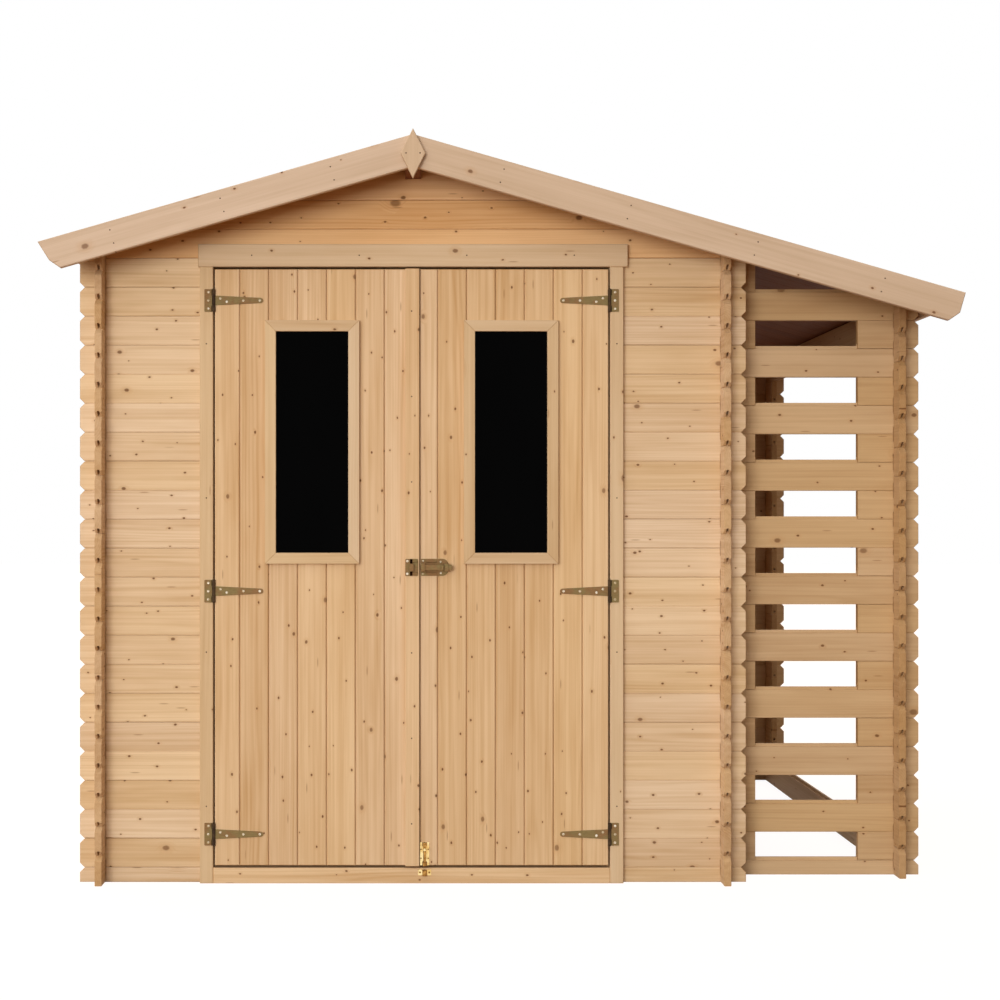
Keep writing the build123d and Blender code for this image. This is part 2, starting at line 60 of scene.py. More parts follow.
# Boards of the doors and the roof
LEAF_BOARD = 0.0845
LEFT_FIRST_BOARD = 0.0731
RIGHT_FIRST_BOARD = 0.0756
LEAF_ARRIS = 0.0025
LEAF_JOINT = 0.0010
MEETING_LINE = 0.0012
JOINT_GAP = 0.0013
GLASS_PLAY = 0.0003
WINDOW_TRIM = 0.032
LEDGE_HEIGHT = 0.095
MIDDLE_HINGE_DROP = 0.112
JAMB_WEB = 0.018
TRIM_ARRIS = 0.0018
MITRE_ARRIS = 0.0007
ROOF_PITCH = math.radians(16)
ROOF_BOARD_WIDTH = 0.094
EAVE_DROP = 0.028
BARGE_WIDTH = 0.088
BARGE_BEVEL_RUN = 0.024
BARGE_BEVEL_RISE = 0.029
LEFT_RAKE = 0.017
FELT_SHEET = 0.0015
FELT_STRIP = 0.62
FELT_LAP = 0.08
FELT_LIP = 0.022
RIDGE_CAP = 0.15

# Nails and screws: a head's rise is a share of its radius, and its profile gives shares of rise and radius
Head = namedtuple("Head", "radius corners rise profile")
NAIL = Head(0.0021, 8, 0.2, ((-1, 0), (0.5, 0), (1, 0.5)))
CLOUT = Head(0.0045, 10, 0.25, ((-1, 0), (0.5, 0), (1, 1 / 3)))
SCREW = Head(0.0036, 14, 0.4, ((-0.5, 0), (0.3, 0), (0.8, 0.3), (1, 0.6), (0.1, 0.7)))
CLOUT_SPACING = 0.11
JAMB_NAIL_SPACING = 0.42
HEAD_NAIL_SPACING = 0.3
BARGE_NAIL_SPACING = 0.36
BATTEN_NAIL_SPACING = 0.25
BARGE_NAIL_SHARES = (0.28, 0.72)
FINIAL_NAIL_SHARES = (-0.28, 0.28)

# Hinges and bolts
SHARP_EDGE = math.radians(40)
METAL_EDGE = 0.0004
STRAP_THICK = 0.0025
STRAP_LENGTH = 0.144
STRAP_ROOT = 0.029
STRAP_TIP = 0.015
STRAP_SCREWS = ((0.019, 0.006), (0.038, -0.004), (0.086, 0.0), (0.134, 0.0))
KNUCKLE_RADIUS = 0.0045
KNUCKLE_PLAY = 0.0005
PLATE_WIDTH = 0.023
PLATE_HEIGHT = 0.066
PLATE_SCREWS = (-0.024, 0.0, 0.024)
PIN_RADIUS = 0.0026
PAD_PLATE = 0.0025
PAD_GUIDE = 0.012
PAD_GUIDE_WALL = 0.003
PAD_GUIDE_BEND = 0.0027
PAD_BAR_HEIGHT = 0.016
PAD_BAR_THICK = 0.006
PAD_PLAY = 0.0005
PAD_EDGE = 0.0015
PAD_LUG = 0.008
PAD_LUG_PARKING = 0.002
PAD_RIB = 0.0028
PAD_RIB_HEIGHT = 0.0165
PAD_RIB_START = 0.0144
PAD_RIB_END = 0.034
PAD_KEEPER_RIB_START = 0.0024
PAD_ROUND = 0.017
PAD_SCREW_SHARE = 0.85
PAD_SCREW_HEIGHT = 0.0185
PAD_END_SCREW = 0.0221
PAD_SLOT = 0.0075
PAD_SLOT_X = 0.0135
PAD_SLOT_START = 0.0115
PAD_SLOT_HEIGHT = 0.0125
BARREL_PLATE = 0.002
BARREL_ROD = 0.004
BARREL_BORE = 0.0044
BARREL_WALL = 0.0025
BARREL_GUIDE = 0.011
BARREL_PARKING = 0.004
BARREL_STEM = 0.0035
BARREL_KNOB = 0.0052
BARREL_KNOB_STEPS = 8
BARREL_NECK = 0.0072
BARREL_SCREW = 0.0105
BARREL_SCREW_RISE = 0.0209
BARREL_SCREW_SHARE = 0.6
BARREL_KEEPER_SCREW_SHARE = 0.8

# Light, floor and camera; a world light is a direction, its sharpness and its strength
WHITE_LIGHT = (1.0, 1.0, 1.0, 1.0)
WARM_LIGHT = (1.0, 0.70, 0.42, 1.0)
AMBIENT_LIGHT = 0.10
ZENITH_LIGHT = ((0.0, 0.0, 1.0), 4.0, 1.5)
FRONT_LIGHT = ((-0.50, -0.85, 0.15), 3.0, 1.5)
KEY_COLOUR = (0.955, 1.015, 1.05)
KEY_POWER = 615.0
KEY_PLACE = Vector((-3.7, -10.5, 1.6))
KEY_AIM = Vector((0.0, -0.9, 1.0))
KEY_SIZE = 5.0
FILL_POWER = 1.6
FILL_TOWARDS = Vector((0.55, -0.75, -0.55))
FILL_ANGLE = math.radians(60)
FLOOR_COLOUR = (0.24, 0.13, 0.06, 1.0)
FLOOR_GLOW = 0.95
FLOOR_HALF = 30.0
CAMERA_LENS = 54.38
CAMERA_SENSOR = 36.0
CAMERA_SHIFT = (0.087, 0.0195)
CAMERA_DISTANCE = 4.426
CAMERA_HEIGHT = 1.062

Box = namedtuple("Box", "x y z")


def box(node):
    """A node's extents along X, Y and Z, each as a pair."""
    return Box(*zip(*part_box(node)))


def middle(span):
    return sum(span) / 2


def widened(span, amount=NOTCH_PLAY):
    """A span made longer at both ends, by a notch's play if nothing else is said."""
    return (span[0] - amount, span[1] + amount)


def around(centre, size):
    """The span of a given size about its middle."""
    return (centre - size / 2, centre + size / 2)


# Places that the frame gives
LEFT_WALL = box("left_wall")
RIGHT_WALL = box("right_wall")
BACK_WALL = box("back_wall")
GABLE = box("front_gable")
PURLIN = box("ridge_purlin")
EAVES = box("eave_boards")
STORE_FRONT = box("store_front_slats")
STORE_BACK = box("store_back_slats")
SILL = box("door_sill")
BATTEN = box("meeting_batten")
LEFT_LEAF = box("left_door_boards")
RIGHT_LEAF = box("right_door_boards")
LEAF_FRONT, LEAF_BACK = LEFT_LEAF.y
HINGE_Y = LEAF_FRONT - KNUCKLE_RADIUS
WALL = RIGHT_WALL.x[1] - RIGHT_WALL.x[0]
FRONT_FACE = GABLE.y[0]
BACK_FACE = BACK_WALL.y[1]
FRONT_WALL_Y = (FRONT_FACE, FRONT_FACE + WALL)
BACK_WALL_Y = (BACK_FACE - WALL, BACK_FACE)
STORE_TOP = box("store_top_rail").z[1]
GAP_LEFT = box("store_wall_blocks").x[1]
GAP_RIGHT = box("store_front_blocks").x[0]
LEFT_ROOF = box("roof_boards_left")
ROOF_FRONT, ROOF_BACK = LEFT_ROOF.y
RIDGE_X = LEFT_ROOF.x[1]
RIDGE_TOP = LEFT_ROOF.z[1]
SLOPE = math.tan(ROOF_PITCH)
RIDGE_UNDER = LEFT_ROOF.z[0] + SLOPE * (RIDGE_X - LEFT_ROOF.x[0])

# Joints of planks: the end, 0 or 1, and the span of the wall that crosses there
LEFT_JOINT = {0: widened(LEFT_WALL.x)}
RIGHT_JOINT = {1: widened(RIGHT_WALL.x)}
WALL_JOINTS = {0: widened(FRONT_WALL_Y), 1: widened(BACK_WALL_Y)}
STORE_JOINT = {1: widened(box("store_bottom_rail").x)}
STORE_FRONT_JOINT = {0: widened(STORE_FRONT.y)}
STORE_BACK_JOINT = {1: widened(STORE_BACK.y)}


def roof_under(x):
    """Height of the roof boards' underside."""
    return RIDGE_UNDER - SLOPE * abs(x - RIDGE_X)


def roof_top(x):
    """Height of the roof boards' upper face."""
    return RIDGE_TOP - SLOPE * abs(x - RIDGE_X)


class Plane:
    """Turns (along the grain, across it, through the board) into a place in the frame."""

    def __init__(self, along, across, through, origin=Vector((0, 0, 0))):
        self.along = along
        self.across = across
        self.through = through
        self.origin = origin
        self.mirrored = along.cross(across).dot(through) < 0

    def place(self, a, b, d):
        return self.origin + self.along * a + self.across * b + self.through * d

    def flat(self, x, z):
        """Where a place in the frame lies along and across the plane."""
        offset = Vector((x, 0, z)) - self.origin
        return (offset.dot(self.along), offset.dot(self.across))


ALONG_X = Plane(X, Z, Y)
ALONG_Y = Plane(Y, Z, X)
UPRIGHT = Plane(Z, X, Y)
FACING = Plane(X, Z, -Y)
LEVEL = Plane(X, Y, Z)


def slope_plane(outward):
    """Along a slope of the roof, from the ridge down."""
    along = Vector((outward * math.cos(ROOF_PITCH), 0, -math.sin(ROOF_PITCH)))
    across = Vector((outward * math.sin(ROOF_PITCH), 0, math.cos(ROOF_PITCH)))
    return Plane(along, across, Y, Vector((RIDGE_X, 0, RIDGE_TOP)))


def signed_area(outline):
    pairs = zip(outline, outline[1:] + outline[:1])
    return sum(p[0] * q[1] - q[0] * p[1] for p, q in pairs) / 2


def inset(outline, amount):
    """The outline, anticlockwise, with every edge moved inward."""
    count = len(outline)
    moved = []
    for i, (a, b) in enumerate(outline):
        before = outline[i - 1]
        after = outline[(i + 1) % count]
        first = Vector((before[1] - b, a - before[0])).normalized()
        second = Vector((b - after[1], after[0] - a)).normalized()
        step = (first + second) * (amount / (1 + first.dot(second)))
        moved.append((a + step.x, b + step.y))
    return moved


def arc(a, b, radius, start_deg, end_deg, steps=8):
    """Points along part of a circle."""
    turns = [math.radians(start_deg + (end_deg - start_deg) * i / steps) for i in range(steps + 1)]
    return [(a + radius * math.cos(turn), b + radius * math.sin(turn)) for turn in turns]


def circle(a, b, radius, sides=20):
    """A round outline."""
    return arc(a, b, radius, 0, 360, sides)[:-1]


def rounded(a_span, b_span, low, high=None):
    """A rectangle with its corners rounded, by the radius low at low a and high at high a."""
    (a0, a1), (b0, b1) = a_span, b_span
    high = high or low
    return (
        arc(a0 + low, b0 + low, low, 180, 270, 4)
        + arc(a1 - high, b0 + high, high, 270, 360, 4)
        + arc(a1 - high, b1 - high, high, 0, 90, 4)
        + arc(a0 + low, b1 - low, low, 90, 180, 4)
    )


def under_roof(outline):
    """An (x, z) outline cut off along both slopes of the roof."""
    for side in (-1, 1):
        kept = []
        for p, q in zip(outline, outline[1:] + outline[:1]):
            room_p, room_q = (RIDGE_UNDER - SLOPE * side * (x - RIDGE_X) - z for x, z in (p, q))
            if room_p >= 0:
                kept.append(p)
            if room_p * room_q < 0:
                share = room_p / (room_p - room_q)
                kept.append((p[0] + (q[0] - p[0]) * share, p[1] + (q[1] - p[1]) * share))
        outline = kept
    return outline


def notched(a_span, b_span, low_cuts=(), high_cuts=(), bevels=None):
    """A board's outline with cuts (start, end, depth) in its two long edges.

    bevels gives the corners, as pairs of 0 or 1, that are cut off at 45 degrees, and how much.
    """
    b0, b1 = b_span

    def corner(a_side, b_side):
        a, b = a_span[a_side], b_span[b_side]
        cut = (bevels or {}).get((a_side, b_side), 0)
        if cut <= 0:
            return [(a, b)]
        in_a = (a + cut * (1 - 2 * a_side), b)
        in_b = (a, b + cut * (1 - 2 * b_side))
        return [in_b, in_a] if a_side == b_side else [in_a, in_b]

    points = corner(0, 0)
    for start, end, depth in sorted(low_cuts):
        points += [(start, b0), (start, b0 + depth), (end, b0 + depth), (end, b0)]
    points += corner(1, 0) + corner(1, 1)
    for start, end, depth in sorted(high_cuts, reverse=True):
        points += [(end, b1), (end, b1 - depth), (start, b1 - depth), (start, b1)]
    return points + corner(0, 1)


def eased(d_span, edge):
    """The layers of a shell whose edges are taken off."""
    d0, d1 = sorted(d_span)
    return [(d0, edge), (d0 + edge, 0), (d1 - edge, 0), (d1, edge)]


def placed(name, data):
    """A new object in the scene."""
    made = bpy.data.objects.new(name, data)
    bpy.context.scene.collection.objects.link(made)
    return made


class Piece:
    """Closed shells that share one mesh."""

    every = []

    def __init__(self, name, material, body="shed", node=None):
        self.name = name
        self.material = material
        self.body = body
        self.node = node
        self.points = []
        self.faces = []
        self.every.append(self)

    def shell(self, plane, outline, layers):
        """A closed shell through the layers, each a depth and how far its outline is drawn in.

        Gives back its points in the plane, and the outline's edge (two points) along each face, if any.
        """
        if signed_area(outline) < 0:
            outline = outline[::-1]
        count = len(outline)
        start = len(self.points)
        flat = []
        for depth, amount in layers:
            flat += [Vector((a, b, depth)) for a, b in (inset(outline, amount) if amount else outline)]
        self.points += [plane.place(*point) for point in flat]
        last = len(self.points) - count
        faces = [list(range(start + count - 1, start - 1, -1))]
        edges = [None]
        for low in range(start, last, count):
            for i in range(count):
                j = (i + 1) % count
                faces.append([low + i, low + j, low + count + j, low + count + i])
                edges.append((outline[i], outline[j]))
        faces.append(list(range(last, last + count)))
        edges.append(None)
        self.faces += [corners[::-1] if plane.mirrored else corners for corners in faces]
        return flat, edges

    def plate(self, plane, outline, d_span, edge=METAL_EDGE):
        """A plate or bar with its edges taken off."""
        self.shell(plane, outline, eased(d_span, edge))

    def fixing(self, kind, plane, a, b, depth, share=1.0):
        """The head of a nail or screw, at a share of its usual size."""
        radius = kind.radius * share
        layers = [(depth + radius * kind.rise * up, radius * inward) for up, inward in kind.profile]
        self.shell(plane, circle(a, b, radius, kind.corners), layers)

    def dress(self, mesh):
        """What a piece adds to its mesh."""
        mesh.shade_smooth()
        mesh.set_sharp_from_angle(angle=SHARP_EDGE)

    def finish(self):
        """The piece in the scene, which rides on its body and stands for its CAD node, if it has one."""
        mesh = bpy.data.meshes.new(self.name)
        mesh.from_pydata(self.points, [], self.faces)
        self.dress(mesh)
        mesh.materials.append(self.material)
        piece = placed(self.name, mesh)
        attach(piece, self.body)
        if self.node:
            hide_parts(self.node)


class Timber(Piece):
    """Boards that share one mesh in place of a CAD node, each with its own stretch of grain."""

    LOG_LENGTH = 60
    LOG_OFFSET = 0.05
    LOG_DEPTHS = (0.02, 0.09)
    END_GRAIN_SLOPE = 0.8

    def __init__(self, node, seed, material, body="shed"):
        super().__init__(node + "_timber", material, body, node)
        self.random = random.Random(seed)
        self.grain = []
        self.tones = []
        self.ends = []

    def new_grain(self):
        """A place in the log for the next board, and its tone."""
        pick = self.random
        along = pick.uniform(0, self.LOG_LENGTH)
        across = pick.uniform(-self.LOG_OFFSET, self.LOG_OFFSET)
        through = pick.uniform(*self.LOG_DEPTHS)
        if pick.random() < 0.5:
            through = -through
        return Vector((along, across, through)), pick.random()

    def grown(self, plane, outline, log, centre, layers):
        """A shell that carries the grain of its log."""
        offset, tone = log
        flat, edges = self.shell(plane, outline, layers)
        self.grain += [point - centre + offset for point in flat]
        self.tones += [tone] * len(edges)
        for edge in edges:
            run, rise = (abs(edge[1][k] - edge[0][k]) for k in (0, 1)) if edge else (1, 0)
            self.ends.append(int(rise > run * self.END_GRAIN_SLOPE))

    def centre(self, outline, d_span):
        a, b = (sum(values) / len(outline) for values in zip(*outline))
        return Vector((a, b, middle(d_span)))

    def board(self, plane, outline, d_span, arris=TRIM_ARRIS):
        """A solid board with its edges taken off."""
        self.grown(plane, outline, self.new_grain(), self.centre(outline, d_span), eased(d_span, arris))

    def plank(self, plane, face, core, d_span, arris=ARRIS):
        """A tongued and grooved board: two skins, and a core that gives the tongue and the groove."""
        d0, d1 = d_span
        third = (d1 - d0) / 3
        grown_with = (self.new_grain(), self.centre(face, d_span))
        self.grown(plane, face, *grown_with, [(d0, arris), (d0 + arris, 0), (d0 + third, 0)])
        if len(core) > 2 and abs(signed_area(core)) > arris ** 2:
            self.grown(plane, core, *grown_with, [(d0 + third, 0), (d1 - third, 0)])
        self.grown(plane, face, *grown_with, [(d1 - third, 0), (d1 - arris, 0), (d1, arris)])

    def dress(self, mesh):
        """The values that the pine material reads."""
        grain = mesh.attributes.new("grain", "FLOAT_VECTOR", "POINT")
        grain.data.foreach_set("vector", [value for point in self.grain for value in point])
        for name, values in (("tone", self.tones), ("end", self.ends)):
            mesh.attributes.new(name, "FLOAT", "FACE").data.foreach_set("value", values)


class Shader:
    """Short calls for the nodes of one material, or of the world."""

    def __init__(self, owner):
        owner.use_nodes = True
        self.owner = owner
        self.tree = owner.node_tree

    def fill(self, made, inputs):
        """Gives a node its values and links."""
        for name, value in inputs.items():
            if isinstance(value, bpy.types.NodeSocket):
                self.tree.links.new(value, made.inputs[name])
            elif value is not None:
                made.inputs[name].default_value = value
        return made.outputs

    def node(self, kind, inputs=None, **settings):
        made = self.tree.nodes.new("ShaderNode" + kind)
        for name, value in settings.items():
            setattr(made, name, value)
        return self.fill(made, inputs or {})

    def surface(self, colour, roughness, specular=0.5, normal=None, **others):
        """The finished material."""
        inputs = {"Base Color": colour, "Roughness": roughness, "Specular IOR Level": specular}
        self.fill(self.tree.nodes["Principled BSDF"], {**inputs, "Normal": normal, **others})
        return self.owner

    def math(self, operation, first, second=None, third=None):
        return self.node("Math", {0: first, 1: second, 2: third}, operation=operation)[0]

    def times(self, first, second):
        return self.math("MULTIPLY", first, second)

    def plus(self, value, factor, base):
        """value times factor, added to base."""
        return self.math("MULTIPLY_ADD", value, factor, base)

    def vector(self, operation, first, second):
        return self.node("VectorMath", {0: first, 1: second}, operation=operation)

    def scaled(self, vector, scales):
        return self.vector("MULTIPLY", vector, scales)[0]

    def attribute(self, name, output="Fac"):
        return self.node("Attribute", attribute_name=name)[output]

    def noise(self, vector, scales, detail=2.0, roughness=0.5, output="Fac"):
        inputs = {"Vector": self.scaled(vector, scales), "Scale": 1.0, "Detail": detail}
        return self.node("TexNoise", {**inputs, "Roughness": roughness})[output]

    def cells(self, vector, dimensions="2D"):
        """A pattern of cells: the distance from each one's middle, and its three random numbers."""
        found = self.node("TexVoronoi", {"Vector": vector, "Scale": 1.0}, voronoi_dimensions=dimensions)
        return found["Distance"], self.node("SeparateColor", {0: found["Color"]})

    def ramp(self, value, low, high):
        """0 to 1, smoothly, as the value goes from low to high."""
        inputs = {"Value": value, "From Min": low, "From Max": high}
        return self.node("MapRange", inputs, interpolation_type="SMOOTHSTEP")[0]

    def mix(self, factor, first, second, blend="MIX"):
        return self.node("Mix", {0: factor, 6: first, 7: second}, data_type="RGBA", blend_type=blend)[2]

    def bump(self, height, distance):
        return self.node("Bump", {"Height": height, "Distance": distance, "Strength": 1.0})[0]

    def background(self, colour, strength):
        return self.node("Background", {"Color": colour, "Strength": strength})[0]

    def ray_mask(self):
        """1 for rays from the camera, off a gloss or through glass, and 0 for the light itself."""
        path = self.node("LightPath")
        seen = self.math("MAXIMUM", path["Is Camera Ray"], path["Is Glossy Ray"])
        return self.math("MAXIMUM", seen, path["Is Transmission Ray"])


def new_shader(name):
    return Shader(bpy.data.materials.new(name))


def srgb(red, green, blue):
    """A colour given as 0 to 255 display values, as a shader takes it."""
    def linear(value):
        value /= 255
        return value / 12.92 if value <= 0.04045 else ((value + 0.055) / 1.055) ** 2.4
    return (linear(red), linear(green), linear(blue), 1.0)


# Pine: scales of its patterns along, across and through the grain, per metre
RING_WANDER = (0.9, 7.0, 7.0)
RING_CLEARNESS = (1.3, 10.0, 10.0)
FIBRES = (4.0, 420.0, 420.0)
STREAKS = (1.0, 70.0, 70.0)
PATCHES = (2.2, 12.0, 12.0)
DASHES = (5.0, 40.0, 0.0)
RAGGED_EDGE = (160.0, 160.0, 160.0)

# Pine: sizes in metres, and shares
RING_SPACING = 0.0062
RING_WANDER_REACH = 0.040
RING_BULGE_SHARE = 1.4
SMALL_KNOT = 0.0015
KNOT_VARIETY = 0.0014
KNOT_LENGTH_SHARE = 0.7
KNOT_RAGGED = (0.022, 0.022, 0.0)
KNOT_FREE_SHARE = 0.12
KNOT_RARITY = 14.0
TONE_SHARE = 0.36
PALE_SHARE = 0.10
HUE_TURNS = 7.3
PINE_RELIEF = 0.0003

# Pine: tints
YELLOWER = (1.0, 0.96, 0.82, 1.0)
END_GRAIN = (0.78, 0.68, 0.56, 1.0)
HALO = srgb(186, 134, 82)
DASH = srgb(140, 94, 52)
KNOT = srgb(100, 58, 24)


def knots(s, grain, spacing, largest):
    """Small knots in most cells of a flat pattern, and large ones in a few.

    Gives the knot, the halo round it, its radius, and how large it is among the others.
    """
    flat = s.scaled(grain, (KNOT_LENGTH_SHARE / spacing, 1 / spacing, 0.0))
    ragged = s.scaled(s.noise(grain, RAGGED_EDGE, output="Color"), KNOT_RAGGED)
    distance, pick = s.cells(s.vector("ADD", flat, ragged)[0])
    large = s.math("POWER", pick[0], KNOT_RARITY)
    radius = s.plus(pick[2], KNOT_VARIETY, s.plus(large, largest, SMALL_KNOT))
    present = s.math("GREATER_THAN", pick[1], KNOT_FREE_SHARE)
    from_middle = s.math("DIVIDE", s.times(distance, spacing), radius)
    knot = s.times(s.ramp(from_middle, 1.35, 0.65), present)
    halo = s.times(s.ramp(from_middle, 3.6, 0.9), present)
    return knot, halo, radius, large


def growth_rings(s, grain, bulge):
    """Rings about the log's middle, pushed aside by knots, and clear on some boards and stretches only."""
    parts = s.node("SeparateXYZ", {0: grain})
    radius = s.math("SQRT", s.math("ADD", s.math("POWER", parts[1], 2.0), s.math("POWER", parts[2], 2.0)))
    radius = s.plus(s.noise(grain, RING_WANDER), RING_WANDER_REACH, radius)
    radius = s.plus(bulge, RING_BULGE_SHARE, radius)
    wave = s.math("SINE", s.times(radius, math.tau / RING_SPACING))
    wave = s.math("POWER", s.plus(wave, 0.5, 0.5), 2.0)
    clear = s.ramp(s.noise(grain, RING_CLEARNESS), 0.42, 0.68)
    return s.times(wave, s.plus(clear, 0.75, 0.25))


def pine(name, light, dark, rings, streaks, knot_spacing=0.076, largest_knot=0.0062):
    """Planed pine: faint growth rings and fibres that follow each board, knots, and darker end grain."""
    s = new_shader(name)
    grain = s.attribute("grain", "Vector")
    tone = s.attribute("tone")
    knot, halo, radius, large = knots(s, grain, knot_spacing, largest_knot)
    ring = growth_rings(s, grain, s.times(halo, radius))
    fibre = s.noise(grain, FIBRES, 3.0, 0.6)
    streak = s.noise(grain, STREAKS, 2.0, 0.55)
    patch = s.noise(grain, PATCHES, 3.0, 0.55)
    dash_distance, dash_pick = s.cells(s.scaled(grain, DASHES))
    dash = s.times(s.ramp(dash_distance, 0.10, 0.03), s.ramp(dash_pick[2], 0.90, 0.94))

    shade = s.times(ring, rings)
    for pattern, low, high, share in (
        (fibre, 0.32, 0.72, 0.16),
        (streak, 0.35, 0.70, streaks),
        (patch, 0.35, 0.72, 0.26),
    ):
        shade = s.plus(s.ramp(pattern, low, high), share, shade)
    shade = s.plus(tone, TONE_SHARE, s.math("SUBTRACT", shade, PALE_SHARE))
    colour = s.mix(s.math("MAXIMUM", s.math("MINIMUM", shade, 1.0), 0.0), light, dark)
    for amount, share, tint, blend in (
        (s.math("FRACT", s.times(tone, HUE_TURNS)), 0.75, YELLOWER, "MULTIPLY"),
        (s.attribute("end"), 0.9, END_GRAIN, "MULTIPLY"),
        (halo, 0.22, HALO, "MIX"),
        (dash, 0.5, DASH, "MIX"),
        (knot, s.plus(large, -0.30, 0.90), KNOT, "MIX"),
    ):
        colour = s.mix(s.times(amount, share), colour, tint, blend)
    rough = s.plus(knot, -0.12, s.plus(fibre, 0.18, 0.52))
    height = s.plus(knot, -0.5, s.plus(ring, 0.2, s.times(fibre, 0.8)))
    return s.surface(colour, rough, 0.2, s.bump(height, PINE_RELIEF))


WALL_PINE = pine("wall_pine", srgb(228, 199, 166), srgb(192, 154, 111), 0.24, 0.26)
DOOR_PINE = pine("door_pine", srgb(226, 193, 155), srgb(194, 152, 105), 0.24, 0.34, 0.080, 0.0034)
TRIM_PINE = pine("trim_pine", srgb(215, 186, 151), srgb(190, 154, 113), 0.16, 0.24, 0.12)
BARGE_PINE = pine("barge_pine", srgb(210, 183, 158), srgb(184, 155, 126), 0.18, 0.26, 0.12)
# The front gable's pine is the wall pine painted darker and more orange, as the shade under the roof's
# overhang.
SHADED_GABLE_PINE = pine("shaded_gable_pine", srgb(232, 190, 146), srgb(202, 150, 98), 0.24, 0.26, 0.076, 0.011)
# The roof boards' and purlin's pine is painted dark and red, as the deep shade under the roof.
SHADED_ROOF_PINE = pine("shaded_roof_pine", srgb(134, 80, 44), srgb(104, 57, 29), 0.24, 0.26, 0.12)
# The log store's pine is the wall pine painted darker, as the shade of its set-back place under the roof.
SHADED_STORE_PINE = pine("store_pine", srgb(208, 174, 134), srgb(175, 136, 93), 0.18, 0.22, 0.090)

# Metal, felt and glass
SCRATCHES = (90.0, 700.0, 700.0)
SCRATCH_TINT = (0.80, 0.78, 0.74, 1.0)
SCRATCH_RELIEF = 0.00008
GRANULES = (620.0, 620.0, 620.0)
GRANULE_RELIEF = 0.0006
CLOUDS = (6.0, 6.0, 6.0)
CLOUD_TINT = (0.72, 0.73, 0.74, 1.0)
SMEARS = (5.0, 5.0, 2.0)
SMEAR_RELIEF = 0.0002


def metal(name, main, other, patches, gloss, metallic):
    """Plated metal: two tints in soft patches, fine scratches, and gloss that varies with them."""
    s = new_shader(name)
    place = s.node("TexCoord")["Object"]
    patch = s.ramp(s.noise(place, (patches, patches, patches), 3.0, 0.6), 0.38, 0.62)
    scratch = s.noise(place, SCRATCHES, 2.0, 0.6)
    tint = s.mix(s.ramp(scratch, 0.30, 0.75), s.mix(patch, main, other), SCRATCH_TINT, "MULTIPLY")
    rough = s.plus(patch, 0.08, s.plus(scratch, 0.20, gloss))
    return s.surface(tint, rough, normal=s.bump(scratch, SCRATCH_RELIEF), Metallic=metallic)


def mineral_felt():
    """Roofing felt: dark bitumen under pale and dark mineral granules."""
    s = new_shader("mineral_felt")
    place = s.node("TexCoord")["Object"]
    distance, pick = s.cells(s.scaled(place, GRANULES), "3D")
    tint = s.mix(s.ramp(pick[0], 0.2, 0.95), srgb(58, 59, 60), srgb(112, 112, 109))
    cloud = s.ramp(s.noise(place, CLOUDS, 3.0), 0.35, 0.70)
    tint = s.mix(s.times(cloud, 0.5), tint, CLOUD_TINT, "MULTIPLY")
    relief = s.bump(s.math("SUBTRACT", 1.0, distance), GRANULE_RELIEF)
    return s.surface(tint, s.plus(pick[1], 0.15, 0.80), 0.3, relief)


def dark_glass():
    """Window panes painted near black, as the shade of the room seen through them, with faint smears."""
    s = new_shader("dark_glass")
    smear = s.noise(s.node("TexCoord")["Object"], SMEARS, 3.0)
    tint = s.mix(smear, srgb(0, 0, 0), srgb(3, 3, 3))
    return s.surface(tint, s.plus(smear, 0.10, 0.04), 0.02, s.bump(smear, SMEAR_RELIEF))


STEEL = metal("passivated_steel", srgb(134, 114, 70), srgb(142, 106, 66), 26.0, 0.36, 0.5)
# Dark steel: the nail heads' own colour, and on the hinge knuckles painted shade, as their plating is the
# straps' own.
DARK_STEEL_AND_KNUCKLE_SHADE = metal("dark_steel_and_knuckle_shade", srgb(78, 58, 34), srgb(58, 40, 22), 30.0, 0.45, 0.5)
# Near black, painted as the shade inside the padbolt keeper's slots.
PAINTED_SLOT_SHADE = metal("painted_slot_shade", srgb(44, 22, 10), srgb(28, 12, 6), 30.0, 0.6, 1.0)
# Pale zinc, its own colour lifted near white as a painted glint on the heads of screws and clouts.
ZINC_WITH_PAINTED_GLINT = metal("zinc_painted_glint", srgb(250, 242, 224), srgb(196, 174, 132), 90.0, 0.22, 0.6)
BRASS = metal("bright_brass", srgb(255, 238, 178), srgb(240, 206, 130), 40.0, 0.16, 0.95)
# A darker brass for the barrel bolt's rod, guides, eye and screws, painted as the shade and dark reflections
# round their curves.
BRASS_WITH_PAINTED_SHADE = metal("brass_with_painted_shade", srgb(206, 160, 88), srgb(150, 104, 50), 70.0, 0.22, 0.95)
FELT = mineral_felt()
SHADE_PAINTED_PANES = dark_glass()


def courses(first_joint, z_span):
    """The heights (low, high) of planks stacked from the ground that start within z_span."""
    low, high = 0.0, first_joint
    while low < z_span[1] - ARRIS:
        if low > z_span[0] - ARRIS:
            yield low, high
        low, high = high, high + COURSE


def grooved(timber, plane, spans, ends, bevelled, low_cuts, high_cuts, tongue=TONGUE, trim=list):
    """A plank with notches, a groove along its foot and a tongue along its top; trim cuts its outline.

    bevelled says if foot and top have 45 degree cuts at the ends, which run on through groove and tongue.
    """
    a_span, (low, high), d_span = spans

    def outline(groove, rise):
        lift = groove if low > ARRIS else 0
        deeper = [(start, end, max(depth - lift, 0)) for start, end, depth in low_cuts]
        higher = [(start, end, depth + rise) for start, end, depth in high_cuts]
        reach = (END_BEVEL - lift, END_BEVEL + rise)
        bevels = {(end, level): reach[level] for end in ends for level in (0, 1) if bevelled[level]}
        return trim(notched(a_span, (low + lift, high + rise), deeper, higher, bevels))

    gap = timber.random.uniform(0, JOINT_GAP)
    timber.plank(plane, outline(gap, 0), outline(GROOVE, tongue), d_span)


